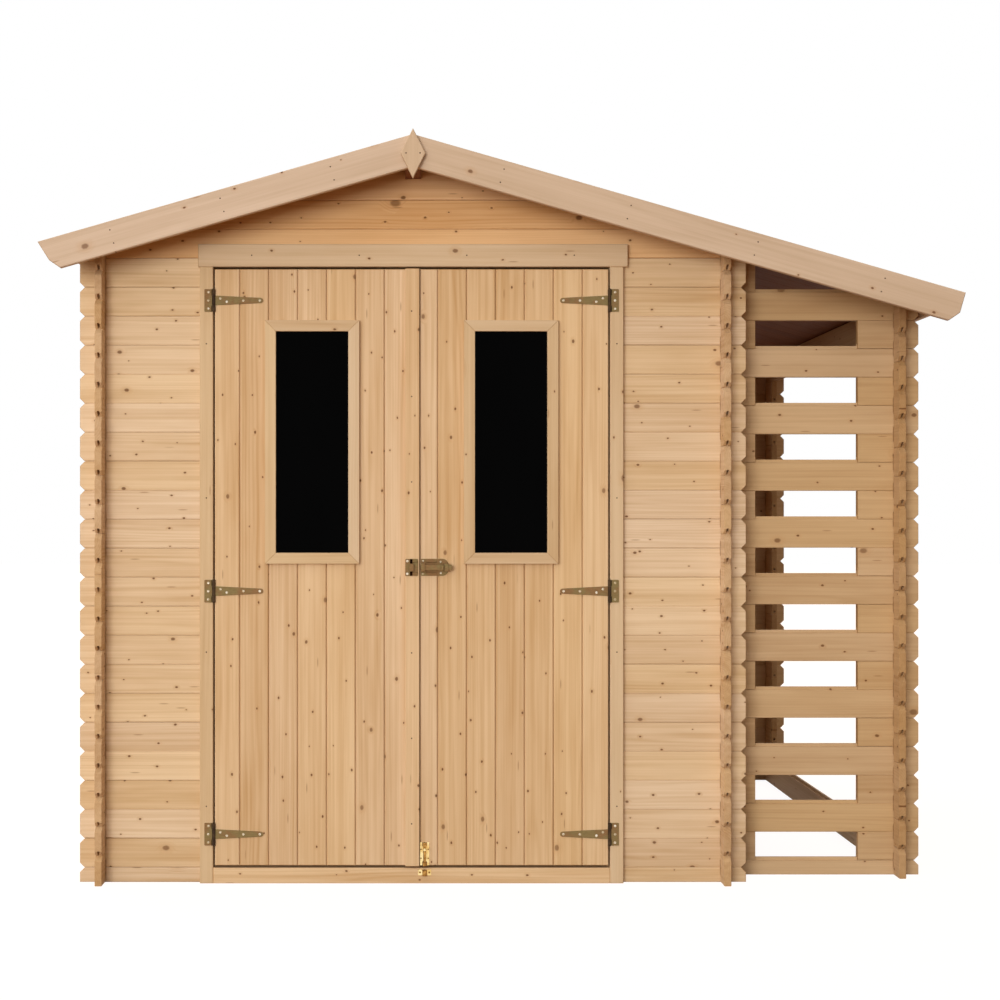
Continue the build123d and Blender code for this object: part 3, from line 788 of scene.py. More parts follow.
def x_plank(timber, a_span, z_span, d_span, joints, top=LEFT_WALL.z[1], top_cuts=()):
    """A plank along X under the roof, notched and bevelled at the joints that lie below top."""
    bevelled = (ARRIS < z_span[0] < top, z_span[1] < top)
    cuts = [(*slot, HALF_SLOT) for slot in joints.values()]
    low_cuts, high_cuts = cuts * bevelled[0], cuts * bevelled[1] + list(top_cuts)
    spans = (a_span, z_span, d_span)
    grooved(timber, ALONG_X, spans, joints, bevelled, low_cuts, high_cuts, trim=under_roof)


def y_planks(node, seed, material, joints, top, whole=False):
    """A node's planks along Y, or its one whole plank, notched at their joints for the planks along X."""
    wall = box(node)
    timber = Timber(node, seed, material)
    for low, high in [wall.z] if whole else courses(COURSE, wall.z):
        high = min(high, top)
        below_top = high <= top - ARRIS
        next_slot = COURSE * round(low / COURSE + 1) - HALF_SLOT
        low_cuts = [(*slot, HALF_SLOT) for slot in joints.values()]
        high_cuts = [(*slot, high - next_slot) for slot in joints.values() if high > next_slot]
        spans = (wall.y, (low, high), wall.x)
        bevelled = (low > ARRIS, below_top)
        grooved(timber, ALONG_Y, spans, joints, bevelled, low_cuts, high_cuts, TONGUE * below_top)


def front_walls():
    """The front wall's planks, left and right of the doorway."""
    for node, seed, joints in (("front_wall_left", 100, LEFT_JOINT), ("front_wall_right", 101, RIGHT_JOINT)):
        wall = box(node)
        timber = Timber(node, seed, WALL_PINE)
        for z_span in courses(COURSE / 2, wall.z):
            x_plank(timber, wall.x, z_span, wall.y, joints)


def gable(node, seed, material, z_low, d_span):
    """Planks of a gable wall above z_low, cut off under the roof and round the purlin."""
    timber = Timber(node, seed, material)
    left, right = BACK_WALL.x
    slot = widened(PURLIN.x)
    foot = PURLIN.z[0]
    for low, high in courses(COURSE / 2, (z_low, RIDGE_UNDER)):
        beside_purlin = low > foot - ARRIS
        cuts = [(*slot, high - foot)] if low < foot < high else []
        for a_span in ((left, slot[0]), (slot[1], right)) if beside_purlin else ((left, right),):
            x_plank(timber, a_span, (low, high), d_span, {**LEFT_JOINT, **RIGHT_JOINT}, top_cuts=cuts)


def store_ends():
    """Slats, corner blocks and wall blocks of the log store's front and back."""
    gap_top = roof_under(GAP_LEFT)
    rows = list(courses(COURSE / 2, (0, gap_top - COURSE / 2)))
    for name, end, seed in (("front", STORE_FRONT, 130), ("back", STORE_BACK, 131)):
        eave = roof_under(end.x[1])
        slats = Timber("store_%s_slats" % name, seed, SHADED_STORE_PINE)
        for low, high in rows[::2]:
            if low < eave:
                x_plank(slats, end.x, (low, high), end.y, STORE_JOINT, STORE_TOP)
        blocks = Timber("store_%s_blocks" % name, seed + 10, SHADED_STORE_PINE)
        for low, high in rows[1::2]:
            if high < eave:
                x_plank(blocks, (GAP_RIGHT, end.x[1]), (low, high), end.y, STORE_JOINT, STORE_TOP)
    wall_blocks = Timber("store_wall_blocks", 132, SHADED_STORE_PINE)
    for end in (STORE_FRONT, STORE_BACK):
        for low, high in rows[1::2]:
            top = roof_under(end.x[0]) if high + COURSE > gap_top else high
            x_plank(wall_blocks, (end.x[0], GAP_LEFT), (low, top), end.y, {})


def store_side():
    """Rails and stacked corner blocks of the log store's open side."""
    both = {**STORE_FRONT_JOINT, **STORE_BACK_JOINT}
    for node, seed, joints, whole in (
        ("store_bottom_rail", 150, both, True),
        ("store_top_rail", 151, both, True),
        ("store_corner_front", 152, STORE_FRONT_JOINT, False),
        ("store_corner_back", 153, STORE_BACK_JOINT, False),
    ):
        y_planks(node, seed, SHADED_STORE_PINE, joints, STORE_TOP, whole)


def outer_edge(node, outward):
    """Where a node ends on its side of the shed."""
    return box(node).x[outward > 0]


def roof_timber():
    """Roof boards from the ridge to the eaves, eave boards and the ridge purlin."""
    count = round((ROOF_BACK - ROOF_FRONT) / ROOF_BOARD_WIDTH)
    width = (ROOF_BACK - ROOF_FRONT) / count
    for (side, outward), seed in zip(SIDES, (160, 161)):
        node = "roof_boards_" + side
        plane = slope_plane(outward)
        eave = outer_edge(node, outward)
        under = [(RIDGE_X, RIDGE_UNDER), (eave, roof_under(eave))]
        top = [(eave, roof_top(eave)), (RIDGE_X, RIDGE_TOP)]
        outline = [plane.flat(x, z) for x, z in under + top]
        boards = Timber(node, seed, SHADED_ROOF_PINE)
        for i in range(count):
            boards.board(plane, outline, (ROOF_FRONT + i * width, ROOF_FRONT + (i + 1) * width), ARRIS)
    eaves = Timber("eave_boards", 162, WALL_PINE)
    for side, outward in SIDES:
        eave = outer_edge("roof_boards_" + side, outward)
        edge = outer_edge("eave_boards", outward)
        face = notched(EAVES.y, (roof_under(eave) - EAVE_DROP, roof_top(edge)))
        eaves.board(ALONG_Y, face, (eave, edge), ARRIS)
    purlin = Timber("ridge_purlin", 163, SHADED_ROOF_PINE)
    purlin.board(ALONG_Y, notched(PURLIN.y, PURLIN.z), widened(PURLIN.x), ARRIS)


def bargeboards():
    """Boards along the verges, and the finials that cover their joints."""
    front, back = box("bargeboards_left").y
    for (side, outward), rake, seed in zip(SIDES, (LEFT_RAKE, 0), (207, 171)):
        node = "bargeboards_" + side
        plane = slope_plane(outward)
        tail = outer_edge(node, outward)
        along, across = plane.flat(tail, roof_top(tail))
        outline = [
            (0.0, 0.0),
            (along, across),
            (along - rake, across - BARGE_WIDTH + BARGE_BEVEL_RISE),
            (along - rake - BARGE_BEVEL_RUN, across - BARGE_WIDTH),
            plane.flat(RIDGE_X, RIDGE_TOP - BARGE_WIDTH / math.cos(ROOF_PITCH)),
        ]
        timber = Timber(node, seed, BARGE_PINE)
        timber.board(plane, outline, (front, ROOF_FRONT))
        timber.board(plane, outline, (ROOF_BACK, back))
    finial = box("finials")
    x, z = middle(finial.x), middle(finial.z)
    diamond = [(finial.z[0], x), (z, finial.x[0]), (finial.z[1], x), (z, finial.x[1])]
    timber = Timber("finials", 172, BARGE_PINE)
    timber.board(UPRIGHT, diamond, (finial.y[0], front))
    timber.board(UPRIGHT, diamond, (back, finial.y[1]))


def door_frame():
    """Jambs, head and sill of the doorway."""
    for (side, outward), seed in zip(SIDES, (180, 181)):
        jamb = box(side + "_jamb")
        inner = jamb.x[outward < 0]
        timber = Timber(side + "_jamb", seed, TRIM_PINE)
        timber.board(UPRIGHT, notched(jamb.z, jamb.x), (jamb.y[0], FRONT_FACE))
        web = notched(jamb.z, sorted((inner, inner + outward * JAMB_WEB)))
        timber.board(UPRIGHT, web, (FRONT_FACE, jamb.y[1]), ARRIS)
    lintel = box("door_head")
    timber = Timber("door_head", 182, TRIM_PINE)
    timber.board(ALONG_X, notched(lintel.x, lintel.z), (lintel.y[0], FRONT_FACE))
    web = notched(widened(SILL.x, JAMB_WEB), (lintel.z[0], GABLE.z[0]))
    timber.board(ALONG_X, web, (FRONT_FACE, lintel.y[1]), ARRIS)
    Timber("door_sill", 183, DOOR_PINE).board(ALONG_X, notched(SILL.x, SILL.z), SILL.y)


def board_edges(x_span, first_width, from_left):
    """The edges of a leaf's boards; the narrow first board is on the hinge side."""
    low, high = x_span
    edges = [low, high]
    reach = first_width
    while reach < high - low - LEAF_BOARD / 3:
        edges.append(low + reach if from_left else high - reach)
        reach += LEAF_BOARD
    return sorted(edges)


def cut_round(z_span, x_span, hole_z, hole_x):
    """The outlines of an upright board that a window's hole cuts into or through."""
    left, right = x_span
    if hole_x[0] <= left and right <= hole_x[1]:
        return [notched((z_span[0], hole_z[0]), x_span), notched((hole_z[1], z_span[1]), x_span)]
    if left < hole_x[0] < right:
        return [notched(z_span, x_span, high_cuts=[(*hole_z, right - hole_x[0])])]
    if left < hole_x[1] < right:
        return [notched(z_span, x_span, low_cuts=[(*hole_z, hole_x[1] - left)])]
    return [notched(z_span, x_span)]


def leaf_boards(side, seed, z_span, edges):
    """Upright boards of a leaf, cut out round its window."""
    glass = box(side + "_window_glass")
    hole = (widened(glass.z, GLASS_PLAY), widened(glass.x, GLASS_PLAY))
    timber = Timber(side + "_door_boards", seed, DOOR_PINE, side + "_door")
    for left, right in zip(edges, edges[1:]):
        skin_x = (left + LEAF_JOINT * (left > edges[0]), right - LEAF_JOINT * (right < edges[-1]))
        faces, cores = (cut_round(z_span, x_span, *hole) for x_span in (skin_x, (left, right)))
        for face, core in zip(faces, cores):
            timber.plank(UPRIGHT, face, core, (LEAF_FRONT, LEAF_BACK), LEAF_ARRIS)


def window_frames(side, seed):
    """Mitred trims round the glass, on both faces of a leaf."""
    trims = box(side + "_window_frames")
    (x0, x1), (z0, z1) = trims.x, trims.z
    (in_x0, in_x1), (in_z0, in_z1) = widened(trims.x, -WINDOW_TRIM), widened(trims.z, -WINDOW_TRIM)
    timber = Timber(side + "_window_frames", seed, TRIM_PINE, side + "_door")
    for d_span in ((trims.y[0], LEAF_FRONT), (LEAF_BACK, trims.y[1])):
        for plane, outline in (
            (ALONG_X, [(x0, z0), (x1, z0), (in_x1, in_z0), (in_x0, in_z0)]),
            (ALONG_X, [(x0, z1), (in_x0, in_z1), (in_x1, in_z1), (x1, z1)]),
            (UPRIGHT, [(z0, x0), (in_z0, in_x0), (in_z1, in_x0), (z1, x0)]),
            (UPRIGHT, [(z0, x1), (z1, x1), (in_z1, in_x1), (in_z0, in_x1)]),
        ):
            timber.board(plane, outline, d_span, MITRE_ARRIS)


def hinge_heights(side):
    """The heights of a leaf's three hinges and of the ledges behind them."""
    low, high = box(side + "_door_ledges").z
    glass_foot = box(side + "_window_frames").z[0] + WINDOW_TRIM
    return (low + LEDGE_HEIGHT / 2, glass_foot - MIDDLE_HINGE_DROP, high - LEDGE_HEIGHT / 2)


def ledges(side, seed):
    """Three boards across the inside of a leaf."""
    ledge = box(side + "_door_ledges")
    timber = Timber(side + "_door_ledges", seed, DOOR_PINE, side + "_door")
    for height in hinge_heights(side):
        timber.board(ALONG_X, notched(ledge.x, around(height, LEDGE_HEIGHT)), ledge.y)


def doors():
    """Both leaves, and the batten, whose lip leaves a fine line between them."""
    leaf_boards("left", 190, LEFT_LEAF.z, board_edges(LEFT_LEAF.x, LEFT_FIRST_BOARD, True))
    leaf_boards("right", 191, RIGHT_LEAF.z, board_edges(RIGHT_LEAF.x, RIGHT_FIRST_BOARD, False))
    for side, seed in (("left", 194), ("right", 195)):
        window_frames(side, seed)
        ledges(side, seed + 2)
    batten = Timber("meeting_batten", 198, DOOR_PINE, "left_door")
    batten.board(UPRIGHT, notched(BATTEN.z, (BATTEN.x[0], RIGHT_LEAF.x[0] - MEETING_LINE)), BATTEN.y)


def spread(span, spacing):
    """Places at even steps, half a step in from both ends."""
    low, high = span
    count = round((high - low) / spacing)
    return [low + (high - low) * (i + 0.5) / count for i in range(count)]


def felt_strip(head, foot, is_last):
    """A strip of felt from the side; its foot rises over the next strip, which laps under it."""
    run = [(head, 0), (foot, 0)]
    if not is_last:
        bend = foot - FELT_LAP
        run[1:] = [(bend - FELT_LAP / 4, 0), (bend, FELT_SHEET), (foot, FELT_SHEET)]
    return run + [(along, rise + FELT_SHEET) for along, rise in run[::-1]]


def ridge_cap():
    """The folded strip of felt over the ridge, as seen from the front."""
    plumb = FELT_SHEET / math.cos(ROOF_PITCH)
    run = [(x, roof_top(x) + plumb) for x in (RIDGE_X - RIDGE_CAP, RIDGE_X, RIDGE_X + RIDGE_CAP)]
    return run + [(x, z + plumb) for x, z in run[::-1]]


def felt(side, outward, clouts):
    """Lapped strips of felt on a slope, folded over the eave, and on the left one the cap along the ridge.

    The places of their nails are added to clouts.
    """
    node = "roof_felt_" + side
    y_span = box(node).y
    edge = outer_edge("eave_boards", outward)
    lip = edge + outward * FELT_SHEET
    plane = slope_plane(outward)
    on_top = Plane(plane.along, Y, plane.across, plane.origin)
    reach = plane.flat(lip, roof_top(lip))[0]
    count = math.ceil(reach / FELT_STRIP)
    sheets = Piece(node + "_sheets", FELT, node=node)
    for i in range(count):
        is_last = i == count - 1
        foot = reach * (i + 1) / count
        sheets.plate(plane, felt_strip(max(reach * i / count - FELT_LAP, 0), foot, is_last), y_span)
        for y in spread(y_span, CLOUT_SPACING):
            clouts.append((on_top, foot - FELT_LAP / 3, y, FELT_SHEET if is_last else 2 * FELT_SHEET))
    for verge in y_span:
        inside = verge * (1 - 2 * CLOUT.radius / y_span[1])
        clouts += [(on_top, along, inside, FELT_SHEET) for along in spread((0, reach), CLOUT_SPACING)]
    fold = (roof_top(edge) - FELT_LIP, roof_top(lip) + FELT_SHEET)
    sheets.plate(FACING, notched(sorted((edge, lip)), fold), (-ROOF_BACK, -ROOF_FRONT))
    if outward < 0:
        sheets.plate(FACING, ridge_cap(), y_span)


def roof_covering():
    """The felt on both slopes, and the clouts that hold it."""
    clouts = []
    for side, outward in SIDES:
        felt(side, outward, clouts)
    heads = Piece("felt_clouts", ZINC_WITH_PAINTED_GLINT)
    for place in clouts:
        heads.fixing(CLOUT, *place)


def knuckle(piece, axis_x, z_span, radius=KNUCKLE_RADIUS):
    """A round stub on a hinge's axis, with its rims taken off."""
    piece.plate(LEVEL, circle(axis_x, HINGE_Y, radius), z_span, radius / 8)


def hinge_axis(side, outward):
    """Where a leaf's hinges turn."""
    return outer_edge(side + "_hinge_straps", outward) - outward * KNUCKLE_RADIUS


HINGE_DEPTHS = (-LEAF_FRONT, STRAP_THICK - LEAF_FRONT)


def hinge_straps(side, outward):
    """Tapered straps with a round end, screwed to a leaf, and the knuckle of each."""
    door = side + "_door"
    axis_x = hinge_axis(side, outward)
    tip = axis_x - outward * (STRAP_LENGTH - STRAP_TIP / 2)
    turn = (-90, 90) if outward < 0 else (270, 90)
    straps = Piece(side + "_hinge_straps_metal", STEEL, door, side + "_hinge_straps")
    # The knuckles are painted dark, as the shade of the gap beside the leaf.
    knuckles = Piece(side + "_strap_knuckles", DARK_STEEL_AND_KNUCKLE_SHADE, door)
    screws = Piece(side + "_strap_screws", ZINC_WITH_PAINTED_GLINT, door)
    for height in hinge_heights(side):
        foot, top = around(height, STRAP_ROOT)
        outline = [(axis_x, foot)] + arc(tip, height, STRAP_TIP / 2, *turn) + [(axis_x, top)]
        straps.plate(FACING, outline, HINGE_DEPTHS)
        knuckle(knuckles, axis_x, (foot, top))
        for reach, rise in STRAP_SCREWS:
            screws.fixing(SCREW, FACING, axis_x - outward * reach, height + rise, HINGE_DEPTHS[1])


def hinge_plates():
    """Plates on the jambs, with their knuckles and the pin through each hinge."""
    plates = Piece("hinge_plates_metal", STEEL, node="hinge_plates")
    # The knuckles are painted dark, as the shade of the gap beside the leaf.
    knuckles = Piece("hinge_plate_knuckles", DARK_STEEL_AND_KNUCKLE_SHADE)
    screws = Piece("hinge_plate_screws", ZINC_WITH_PAINTED_GLINT)
    for side, outward in SIDES:
        axis_x = hinge_axis(side, outward)
        inner = axis_x + outward * (KNUCKLE_RADIUS + KNUCKLE_PLAY)
        outer = axis_x + outward * (KNUCKLE_RADIUS + PLATE_WIDTH)
        plate_x = sorted((inner, outer))
        ear_x = sorted((axis_x, inner + outward * PIN_RADIUS))
        for height in hinge_heights(side):
            low, high = around(height, PLATE_HEIGHT)
            foot, top = around(height, STRAP_ROOT + 2 * KNUCKLE_PLAY)
            plates.plate(FACING, rounded(plate_x, (low, high), PIN_RADIUS), HINGE_DEPTHS)
            for z_span in ((low, foot), (top, high)):
                plates.plate(FACING, notched(ear_x, z_span), HINGE_DEPTHS)
                knuckle(knuckles, axis_x, z_span)
            knuckle(knuckles, axis_x, (low - PIN_RADIUS / 2, low + PIN_RADIUS), PIN_RADIUS)
            knuckle(knuckles, axis_x, (high - PIN_RADIUS, high + PIN_RADIUS / 2), PIN_RADIUS)
            for rise in PLATE_SCREWS:
                screws.fixing(SCREW, FACING, middle(plate_x), height + rise, HINGE_DEPTHS[1])


PAD_BODY = box("padbolt_body")
PAD_BAR = box("padbolt_bar")
PAD_BAR_Y = (PAD_BAR.y[1] - PAD_BAR_THICK, PAD_BAR.y[1])
PAD_HEIGHT = middle(PAD_BODY.z)


def pressed_rib(piece, x_span, side, surface):
    """A half-round rib pressed into a plate of the padbolt, above or below its middle."""
    piece.plate(ALONG_Y, arc(surface, PAD_HEIGHT + side * PAD_RIB_HEIGHT, PAD_RIB, 90, 270), x_span)


def bridge(piece, x_span, back):
    """A guide over the flat bar: a strap with rounded shoulders, on a block where its plate lies deeper."""
    hole_front, hole_back = widened(PAD_BAR_Y, PAD_PLAY)
    hole_foot, hole_top = around(PAD_HEIGHT, PAD_BAR_HEIGHT + 2 * PAD_PLAY)
    foot, top = hole_foot - PAD_GUIDE_WALL, hole_top + PAD_GUIDE_WALL
    if back - hole_back > PAD_PLAY:
        piece.plate(ALONG_Y, notched((hole_back, back), (foot, top)), x_span)
    bend_y = hole_front - PAD_GUIDE_WALL + PAD_GUIDE_BEND
    strap = [(hole_back, foot)]
    strap += arc(bend_y, foot + PAD_GUIDE_BEND, PAD_GUIDE_BEND, 270, 180, 4)
    strap += arc(bend_y, top - PAD_GUIDE_BEND, PAD_GUIDE_BEND, 180, 90, 4)
    strap += [(hole_back, top), (hole_back, hole_top), (hole_front, hole_top)]
    strap += [(hole_front, hole_foot), (hole_back, hole_foot)]
    piece.plate(ALONG_Y, strap, x_span)


def padbolt_body():
    """The flat bolt's plate on the right leaf, with two guides, ribs and screws."""
    left, right = PAD_BODY.x
    surface = LEAF_FRONT - PAD_PLATE
    body = Piece("padbolt_body_metal", STEEL, "right_door", "padbolt_body")
    screws = Piece("padbolt_screws", ZINC_WITH_PAINTED_GLINT, "right_door")
    body.plate(FACING, rounded(PAD_BODY.x, PAD_BODY.z, PAD_RIB, PAD_ROUND), (-LEAF_FRONT, -surface))
    for x_span in ((left, left + PAD_GUIDE), (right - PAD_GUIDE, right)):
        bridge(body, x_span, surface)
    for side in (-1, 1):
        pressed_rib(body, (left + PAD_RIB_START, right - PAD_RIB_END), side, surface)
        for x, rise in ((left + PAD_GUIDE / 2, PAD_SCREW_HEIGHT), (right - PAD_END_SCREW, PAD_RIB_HEIGHT)):
            screws.fixing(SCREW, FACING, x, PAD_HEIGHT + side * rise, -surface, PAD_SCREW_SHARE)


def padbolt_bar():
    """The flat bar and its lug."""
    bar = Piece("padbolt_bar_metal", STEEL, "padbolt", "padbolt_bar")
    bar.plate(ALONG_Y, rounded(PAD_BAR_Y, PAD_BAR.z, PAD_EDGE), PAD_BAR.x, PAD_EDGE / 2)
    lug_end = PAD_BODY.x[1] - PAD_GUIDE - PAD_LUG_PARKING
    lug = rounded((lug_end - PAD_LUG, lug_end), PAD_BAR.z, PAD_EDGE)
    bar.plate(FACING, lug, (-PAD_BAR_Y[1] + PAD_EDGE, -PAD_BAR.y[0]), PAD_EDGE)


def padbolt_keeper():
    """The flat bolt's keeper on the batten: a guide, ribs, screws, and two black patches painted as the
    shade in its slots.
    """
    slots = Piece("padbolt_keeper_slot_shade", PAINTED_SLOT_SHADE, "left_door")
    keeper = Piece("padbolt_keeper_metal", STEEL, "left_door", "padbolt_keeper")
    screws = Piece("padbolt_keeper_screws", ZINC_WITH_PAINTED_GLINT, "left_door")
    plate = box("padbolt_keeper")
    left, right = plate.x
    back = BATTEN.y[0]
    surface = back - PAD_PLATE
    keeper.plate(FACING, rounded(plate.x, plate.z, PAD_RIB), (-back, -surface))
    bridge(keeper, around(middle(plate.x), PAD_GUIDE), surface)
    slot_x = (left + PAD_SLOT_X, left + PAD_SLOT_X + PAD_SLOT)
    for side in (-1, 1):
        pressed_rib(keeper, (middle(plate.x) + PAD_KEEPER_RIB_START, right - PAD_EDGE), side, surface)
        screws.fixing(SCREW, FACING, slot_x[0] - PAD_SLOT, PAD_HEIGHT + side * PAD_SCREW_HEIGHT, -surface)
        slot_z = sorted(PAD_HEIGHT + side * (PAD_SLOT_START + more) for more in (0, PAD_SLOT_HEIGHT))
        # Each slot is a black patch just proud of the plate, painted as the shade in a hole.
        slots.plate(FACING, notched(slot_x, slot_z), (-back, METAL_EDGE - surface))


BARREL_BODY = box("barrel_bolt_body")
BARREL_PIN = box("barrel_bolt_rod")
BARREL_X = middle(BARREL_PIN.x)
BARREL_Y = BARREL_PIN.y[1] - BARREL_ROD
BARREL_SURFACE = LEAF_FRONT - BARREL_PLATE


def half_round(piece, z_span):
    """A half-round guide for the barrel bolt's rod, open at the back."""
    outer = BARREL_BORE + BARREL_WALL
    outline = [(BARREL_X + outer, BARREL_SURFACE)] + arc(BARREL_X, BARREL_Y, outer, 0, -180, 12)
    outline += [(BARREL_X - radius, BARREL_SURFACE) for radius in (outer, BARREL_BORE)]
    outline += arc(BARREL_X, BARREL_Y, BARREL_BORE, 180, 360, 12)
    outline += [(BARREL_X + BARREL_BORE, BARREL_SURFACE)]
    piece.plate(LEVEL, outline, z_span)


def barrel_plate(piece, plate):
    """A small brass plate on the leaf or the sill."""
    piece.plate(FACING, rounded(plate.x, plate.z, BARREL_PLATE), (-LEAF_FRONT, -BARREL_SURFACE))


def barrel_body():
    """The round bolt's plate at the foot of the right leaf, with two guides and four screws."""
    body = Piece("barrel_bolt_body_brass", BRASS, "right_door", "barrel_bolt_body")
    guides = Piece("barrel_bolt_guides_brass", BRASS_WITH_PAINTED_SHADE, "right_door")
    screws = Piece("barrel_bolt_screws", BRASS_WITH_PAINTED_SHADE, "right_door")
    barrel_plate(body, BARREL_BODY)
    low, high = BARREL_BODY.z
    for z_span in ((low, low + BARREL_GUIDE), (high - BARREL_GUIDE, high)):
        half_round(guides, z_span)
    for x in (BARREL_X - BARREL_SCREW, BARREL_X + BARREL_SCREW):
        for z in (low + BARREL_SCREW_RISE, high - BARREL_SCREW_RISE):
            screws.fixing(SCREW, FACING, x, z, -BARREL_SURFACE, BARREL_SCREW_SHARE)


def barrel_rod():
    """The round rod and its knob."""
    rod = Piece("barrel_bolt_rod_brass", BRASS_WITH_PAINTED_SHADE, "barrel_bolt", "barrel_bolt_rod")
    rod.plate(LEVEL, circle(BARREL_X, BARREL_Y, BARREL_ROD), BARREL_PIN.z, BARREL_ROD / 3)
    height = BARREL_BODY.z[1] - BARREL_GUIDE - BARREL_PARKING - BARREL_STEM
    neck = BARREL_NECK - BARREL_Y
    layers = [(depth, BARREL_KNOB - BARREL_STEM) for depth in (-BARREL_Y, neck)]
    for step in range(1, BARREL_KNOB_STEPS):
        turn = math.pi * step / BARREL_KNOB_STEPS
        layers.append((neck + BARREL_KNOB * (1 - math.cos(turn)), BARREL_KNOB * (1 - math.sin(turn))))
    # The knob is in the bright brass, so it stands as a painted highlight against the darker rod.
    knob = Piece("barrel_bolt_knob_brass", BRASS, "barrel_bolt")
    knob.shell(FACING, circle(BARREL_X, height, BARREL_KNOB, 24), layers)


def barrel_keeper():
    """The round bolt's keeper on the sill, with its eye and two screws."""
    plate = box("barrel_bolt_keeper")
    barrel_plate(Piece("barrel_bolt_keeper_brass", BRASS, node="barrel_bolt_keeper"), plate)
    half_round(Piece("barrel_bolt_keeper_eye", BRASS_WITH_PAINTED_SHADE), plate.z)
    screws = Piece("barrel_bolt_keeper_screws", BRASS_WITH_PAINTED_SHADE)
    for x in widened(plate.x, -BARREL_SCREW / 2):
        screws.fixing(SCREW, FACING, x, middle(plate.z), -BARREL_SURFACE, BARREL_KEEPER_SCREW_SHARE)


def upright_nails(piece, node, spacing):
    """A row of nails up the middle of a board's front."""
    board = box(node)
    for z in spread(board.z, spacing):
        piece.fixing(NAIL, FACING, middle(board.x), z, -board.y[0])


def trim_nails():
    """Nail heads in the jambs, the door's head, the bargeboards and the finials."""
    nails = Piece("trim_nails", DARK_STEEL_AND_KNUCKLE_SHADE)
    upright_nails(nails, "left_jamb", JAMB_NAIL_SPACING)
    upright_nails(nails, "right_jamb", JAMB_NAIL_SPACING)
    lintel = box("door_head")
    for x in spread(lintel.x, HEAD_NAIL_SPACING):
        nails.fixing(NAIL, FACING, x, middle(lintel.z), -lintel.y[0])
    for side, outward in SIDES:
        barge = box("bargeboards_" + side)
        plane = slope_plane(outward)
        front = Plane(plane.along, plane.across, -Y, plane.origin)
        tail = barge.x[outward > 0]
        reach = plane.flat(tail, roof_top(tail))[0]
        for along in spread((BARGE_WIDTH, reach - BARGE_WIDTH / 2), BARGE_NAIL_SPACING):
            for share in BARGE_NAIL_SHARES:
                nails.fixing(NAIL, front, along, -BARGE_WIDTH * share, -barge.y[0])
                nails.fixing(NAIL, plane, along, -BARGE_WIDTH * share, barge.y[1])
    finial = box("finials")
    z = middle(finial.z)
    for share in FINIAL_NAIL_SHARES:
        x = middle(finial.x) + share * (finial.x[1] - finial.x[0])
        nails.fixing(NAIL, FACING, x, z, -finial.y[0])
        nails.fixing(NAIL, UPRIGHT, z, x, finial.y[1])


def door_nails(side):
    """Nail heads in a leaf's ledges and, on the left leaf, in the batten."""
    nails = Piece(side + "_door_nails", DARK_STEEL_AND_KNUCKLE_SHADE, side + "_door")
    if side == "left":
        upright_nails(nails, "meeting_batten", BATTEN_NAIL_SPACING)
    ledge = box(side + "_door_ledges")
    for height in hinge_heights(side):
        for x in spread(ledge.x, LEAF_BOARD):
            for z in around(height, LEDGE_HEIGHT / 2):
                nails.fixing(NAIL, UPRIGHT, z, x, ledge.y[1])


def panes():
    """The panes stay as they are in CAD, in glass painted black as the shade of the room behind it."""
    for node in ("left_window_glass", "right_window_glass"):
        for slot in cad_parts[node].material_slots:
            slot.material = SHADE_PAINTED_PANES


def lamp(name, kind, energy, towards, place=(0, 0, 0)):
    """A lamp that shines from its place in a direction, and makes no glare of its own."""
    data = bpy.data.lights.new(name, kind)
    data.energy = energy
    holder = placed(name, data)
    holder.location = place
    holder.rotation_mode = "QUATERNION"
    holder.rotation_quaternion = towards.to_track_quat("-Z", "Y")
    holder.visible_glossy = False
    return data


def lights():
    """A large soft lamp in front and to the left, and a weak fill from behind."""
    key = lamp("key", "AREA", KEY_POWER, KEY_AIM - KEY_PLACE, KEY_PLACE)
    key.color = KEY_COLOUR
    key.shape = "DISK"
    key.size = KEY_SIZE
    fill = lamp("fill", "SUN", FILL_POWER, FILL_TOWARDS)
    fill.angle = FILL_ANGLE


def light_from(s, towards, sharpness, strength):
    """World light from one side, which fades away from it."""
    facing = s.vector("DOT_PRODUCT", s.node("TexCoord")["Generated"], towards)["Value"]
    fading = s.math("POWER", s.math("MAXIMUM", facing, 0.0), sharpness)
    return s.background(WHITE_LIGHT, s.times(fading, strength))


def white_world():
    """Soft light, mostly from the front and from above, and a white background past the object."""
    bpy.context.scene.world = bpy.data.worlds.new("studio")
    s = Shader(bpy.context.scene.world)
    light = s.fill(s.tree.nodes["Background"], {"Color": WARM_LIGHT, "Strength": AMBIENT_LIGHT})[0]
    for source in (ZENITH_LIGHT, FRONT_LIGHT):
        light = s.node("AddShader", {0: light, 1: light_from(s, *source)})[0]
    shown = s.node("MixShader", {0: s.ray_mask(), 1: light, 2: s.background(WHITE_LIGHT, 1.0)})[0]
    s.fill(s.tree.nodes["World Output"], {"Surface": shown})


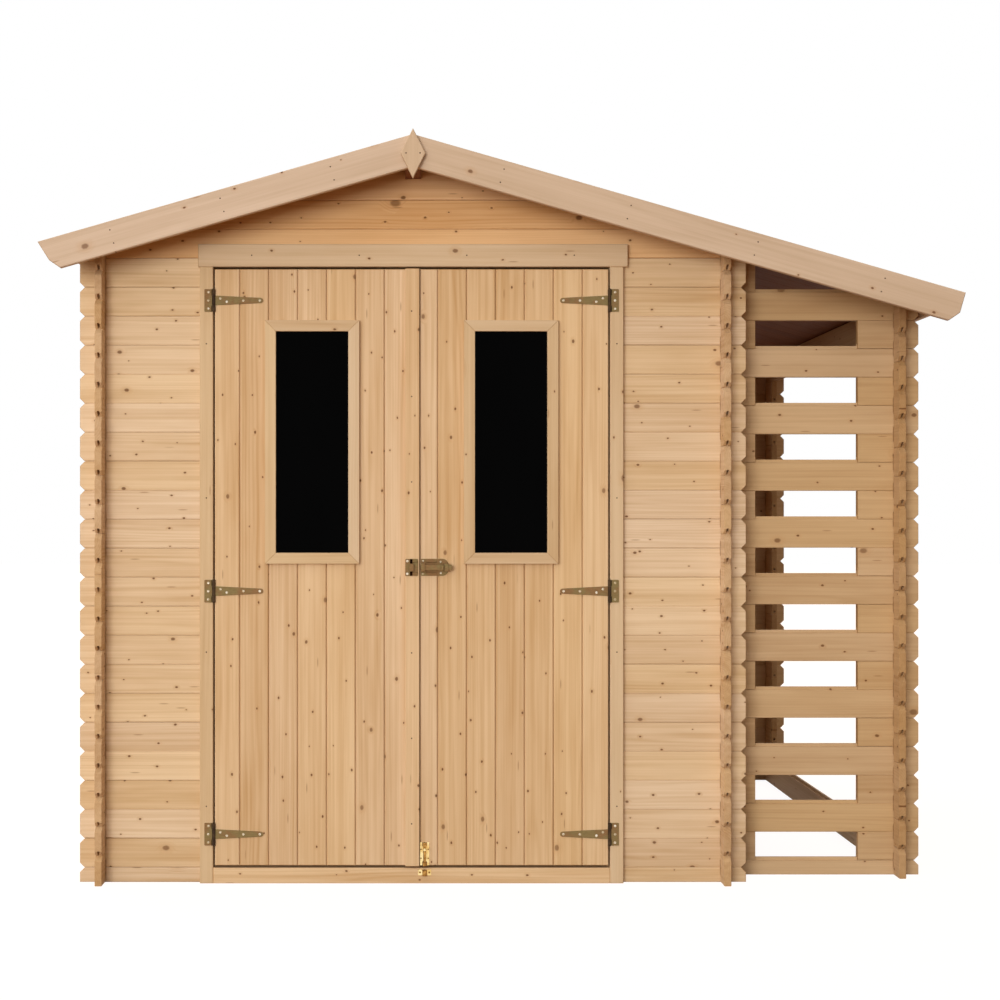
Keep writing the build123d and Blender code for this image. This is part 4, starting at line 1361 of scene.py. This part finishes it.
def floor_shader(name, glow):
    """A matt floor that shows as white where its glow is near 1, and keeps the shadows."""
    s = new_shader(name)
    shine = {"Emission Color": WHITE_LIGHT, "Emission Strength": s.times(s.ray_mask(), glow)}
    return s.surface(FLOOR_COLOUR, 0.9, 0.0, **shine)


def floor():
    """The floor all round, and the dark patch of it that the room encloses."""
    outside = (-FLOOR_HALF, FLOOR_HALF)
    room = (LEFT_WALL.x[0], RIGHT_WALL.x[1])
    points = []
    for x_span, y_span in ((outside, outside), (room, (FRONT_FACE, BACK_FACE))):
        points += [(x_span[i], y_span[j], 0) for i, j in ((0, 0), (1, 0), (1, 1), (0, 1))]
    mesh = bpy.data.meshes.new("floor")
    mesh.from_pydata(points, [], [(0, 1, 5, 4), (1, 2, 6, 5), (2, 3, 7, 6), (3, 0, 4, 7), (4, 5, 6, 7)])
    mesh.materials.append(floor_shader("floor", FLOOR_GLOW))
    mesh.materials.append(floor_shader("floor_inside", 0.0))
    mesh.polygons[-1].material_index = 1
    piece = placed("floor", mesh)


def camera():
    """A level camera in front of the doors, where the photographer stood."""
    data = bpy.data.cameras.new("camera")
    data.sensor_width = CAMERA_SENSOR
    data.lens = CAMERA_LENS
    data.shift_x, data.shift_y = CAMERA_SHIFT
    holder = placed("camera", data)
    holder.location = (RIDGE_X, FRONT_FACE - CAMERA_DISTANCE, CAMERA_HEIGHT)
    holder.rotation_euler = (math.radians(90), 0, 0)
    bpy.context.scene.camera = holder


front_walls()
gable("front_gable", 110, SHADED_GABLE_PINE, GABLE.z[0], FRONT_WALL_Y)
gable("back_wall", 111, WALL_PINE, 0.0, BACK_WALL_Y)
y_planks("left_wall", 120, WALL_PINE, WALL_JOINTS, LEFT_WALL.z[1])
y_planks("right_wall", 121, WALL_PINE, WALL_JOINTS, RIGHT_WALL.z[1])
store_ends()
store_side()
roof_timber()
bargeboards()
door_frame()
doors()
roof_covering()
hinge_straps("left", -1)
hinge_straps("right", 1)
hinge_plates()
padbolt_body()
padbolt_bar()
padbolt_keeper()
barrel_body()
barrel_rod()
barrel_keeper()
trim_nails()
door_nails("left")
door_nails("right")
for piece in Piece.every:
    piece.finish()
panes()
white_world()
floor()
lights()
camera()
bpy.context.scene.view_settings.view_transform = "Standard"
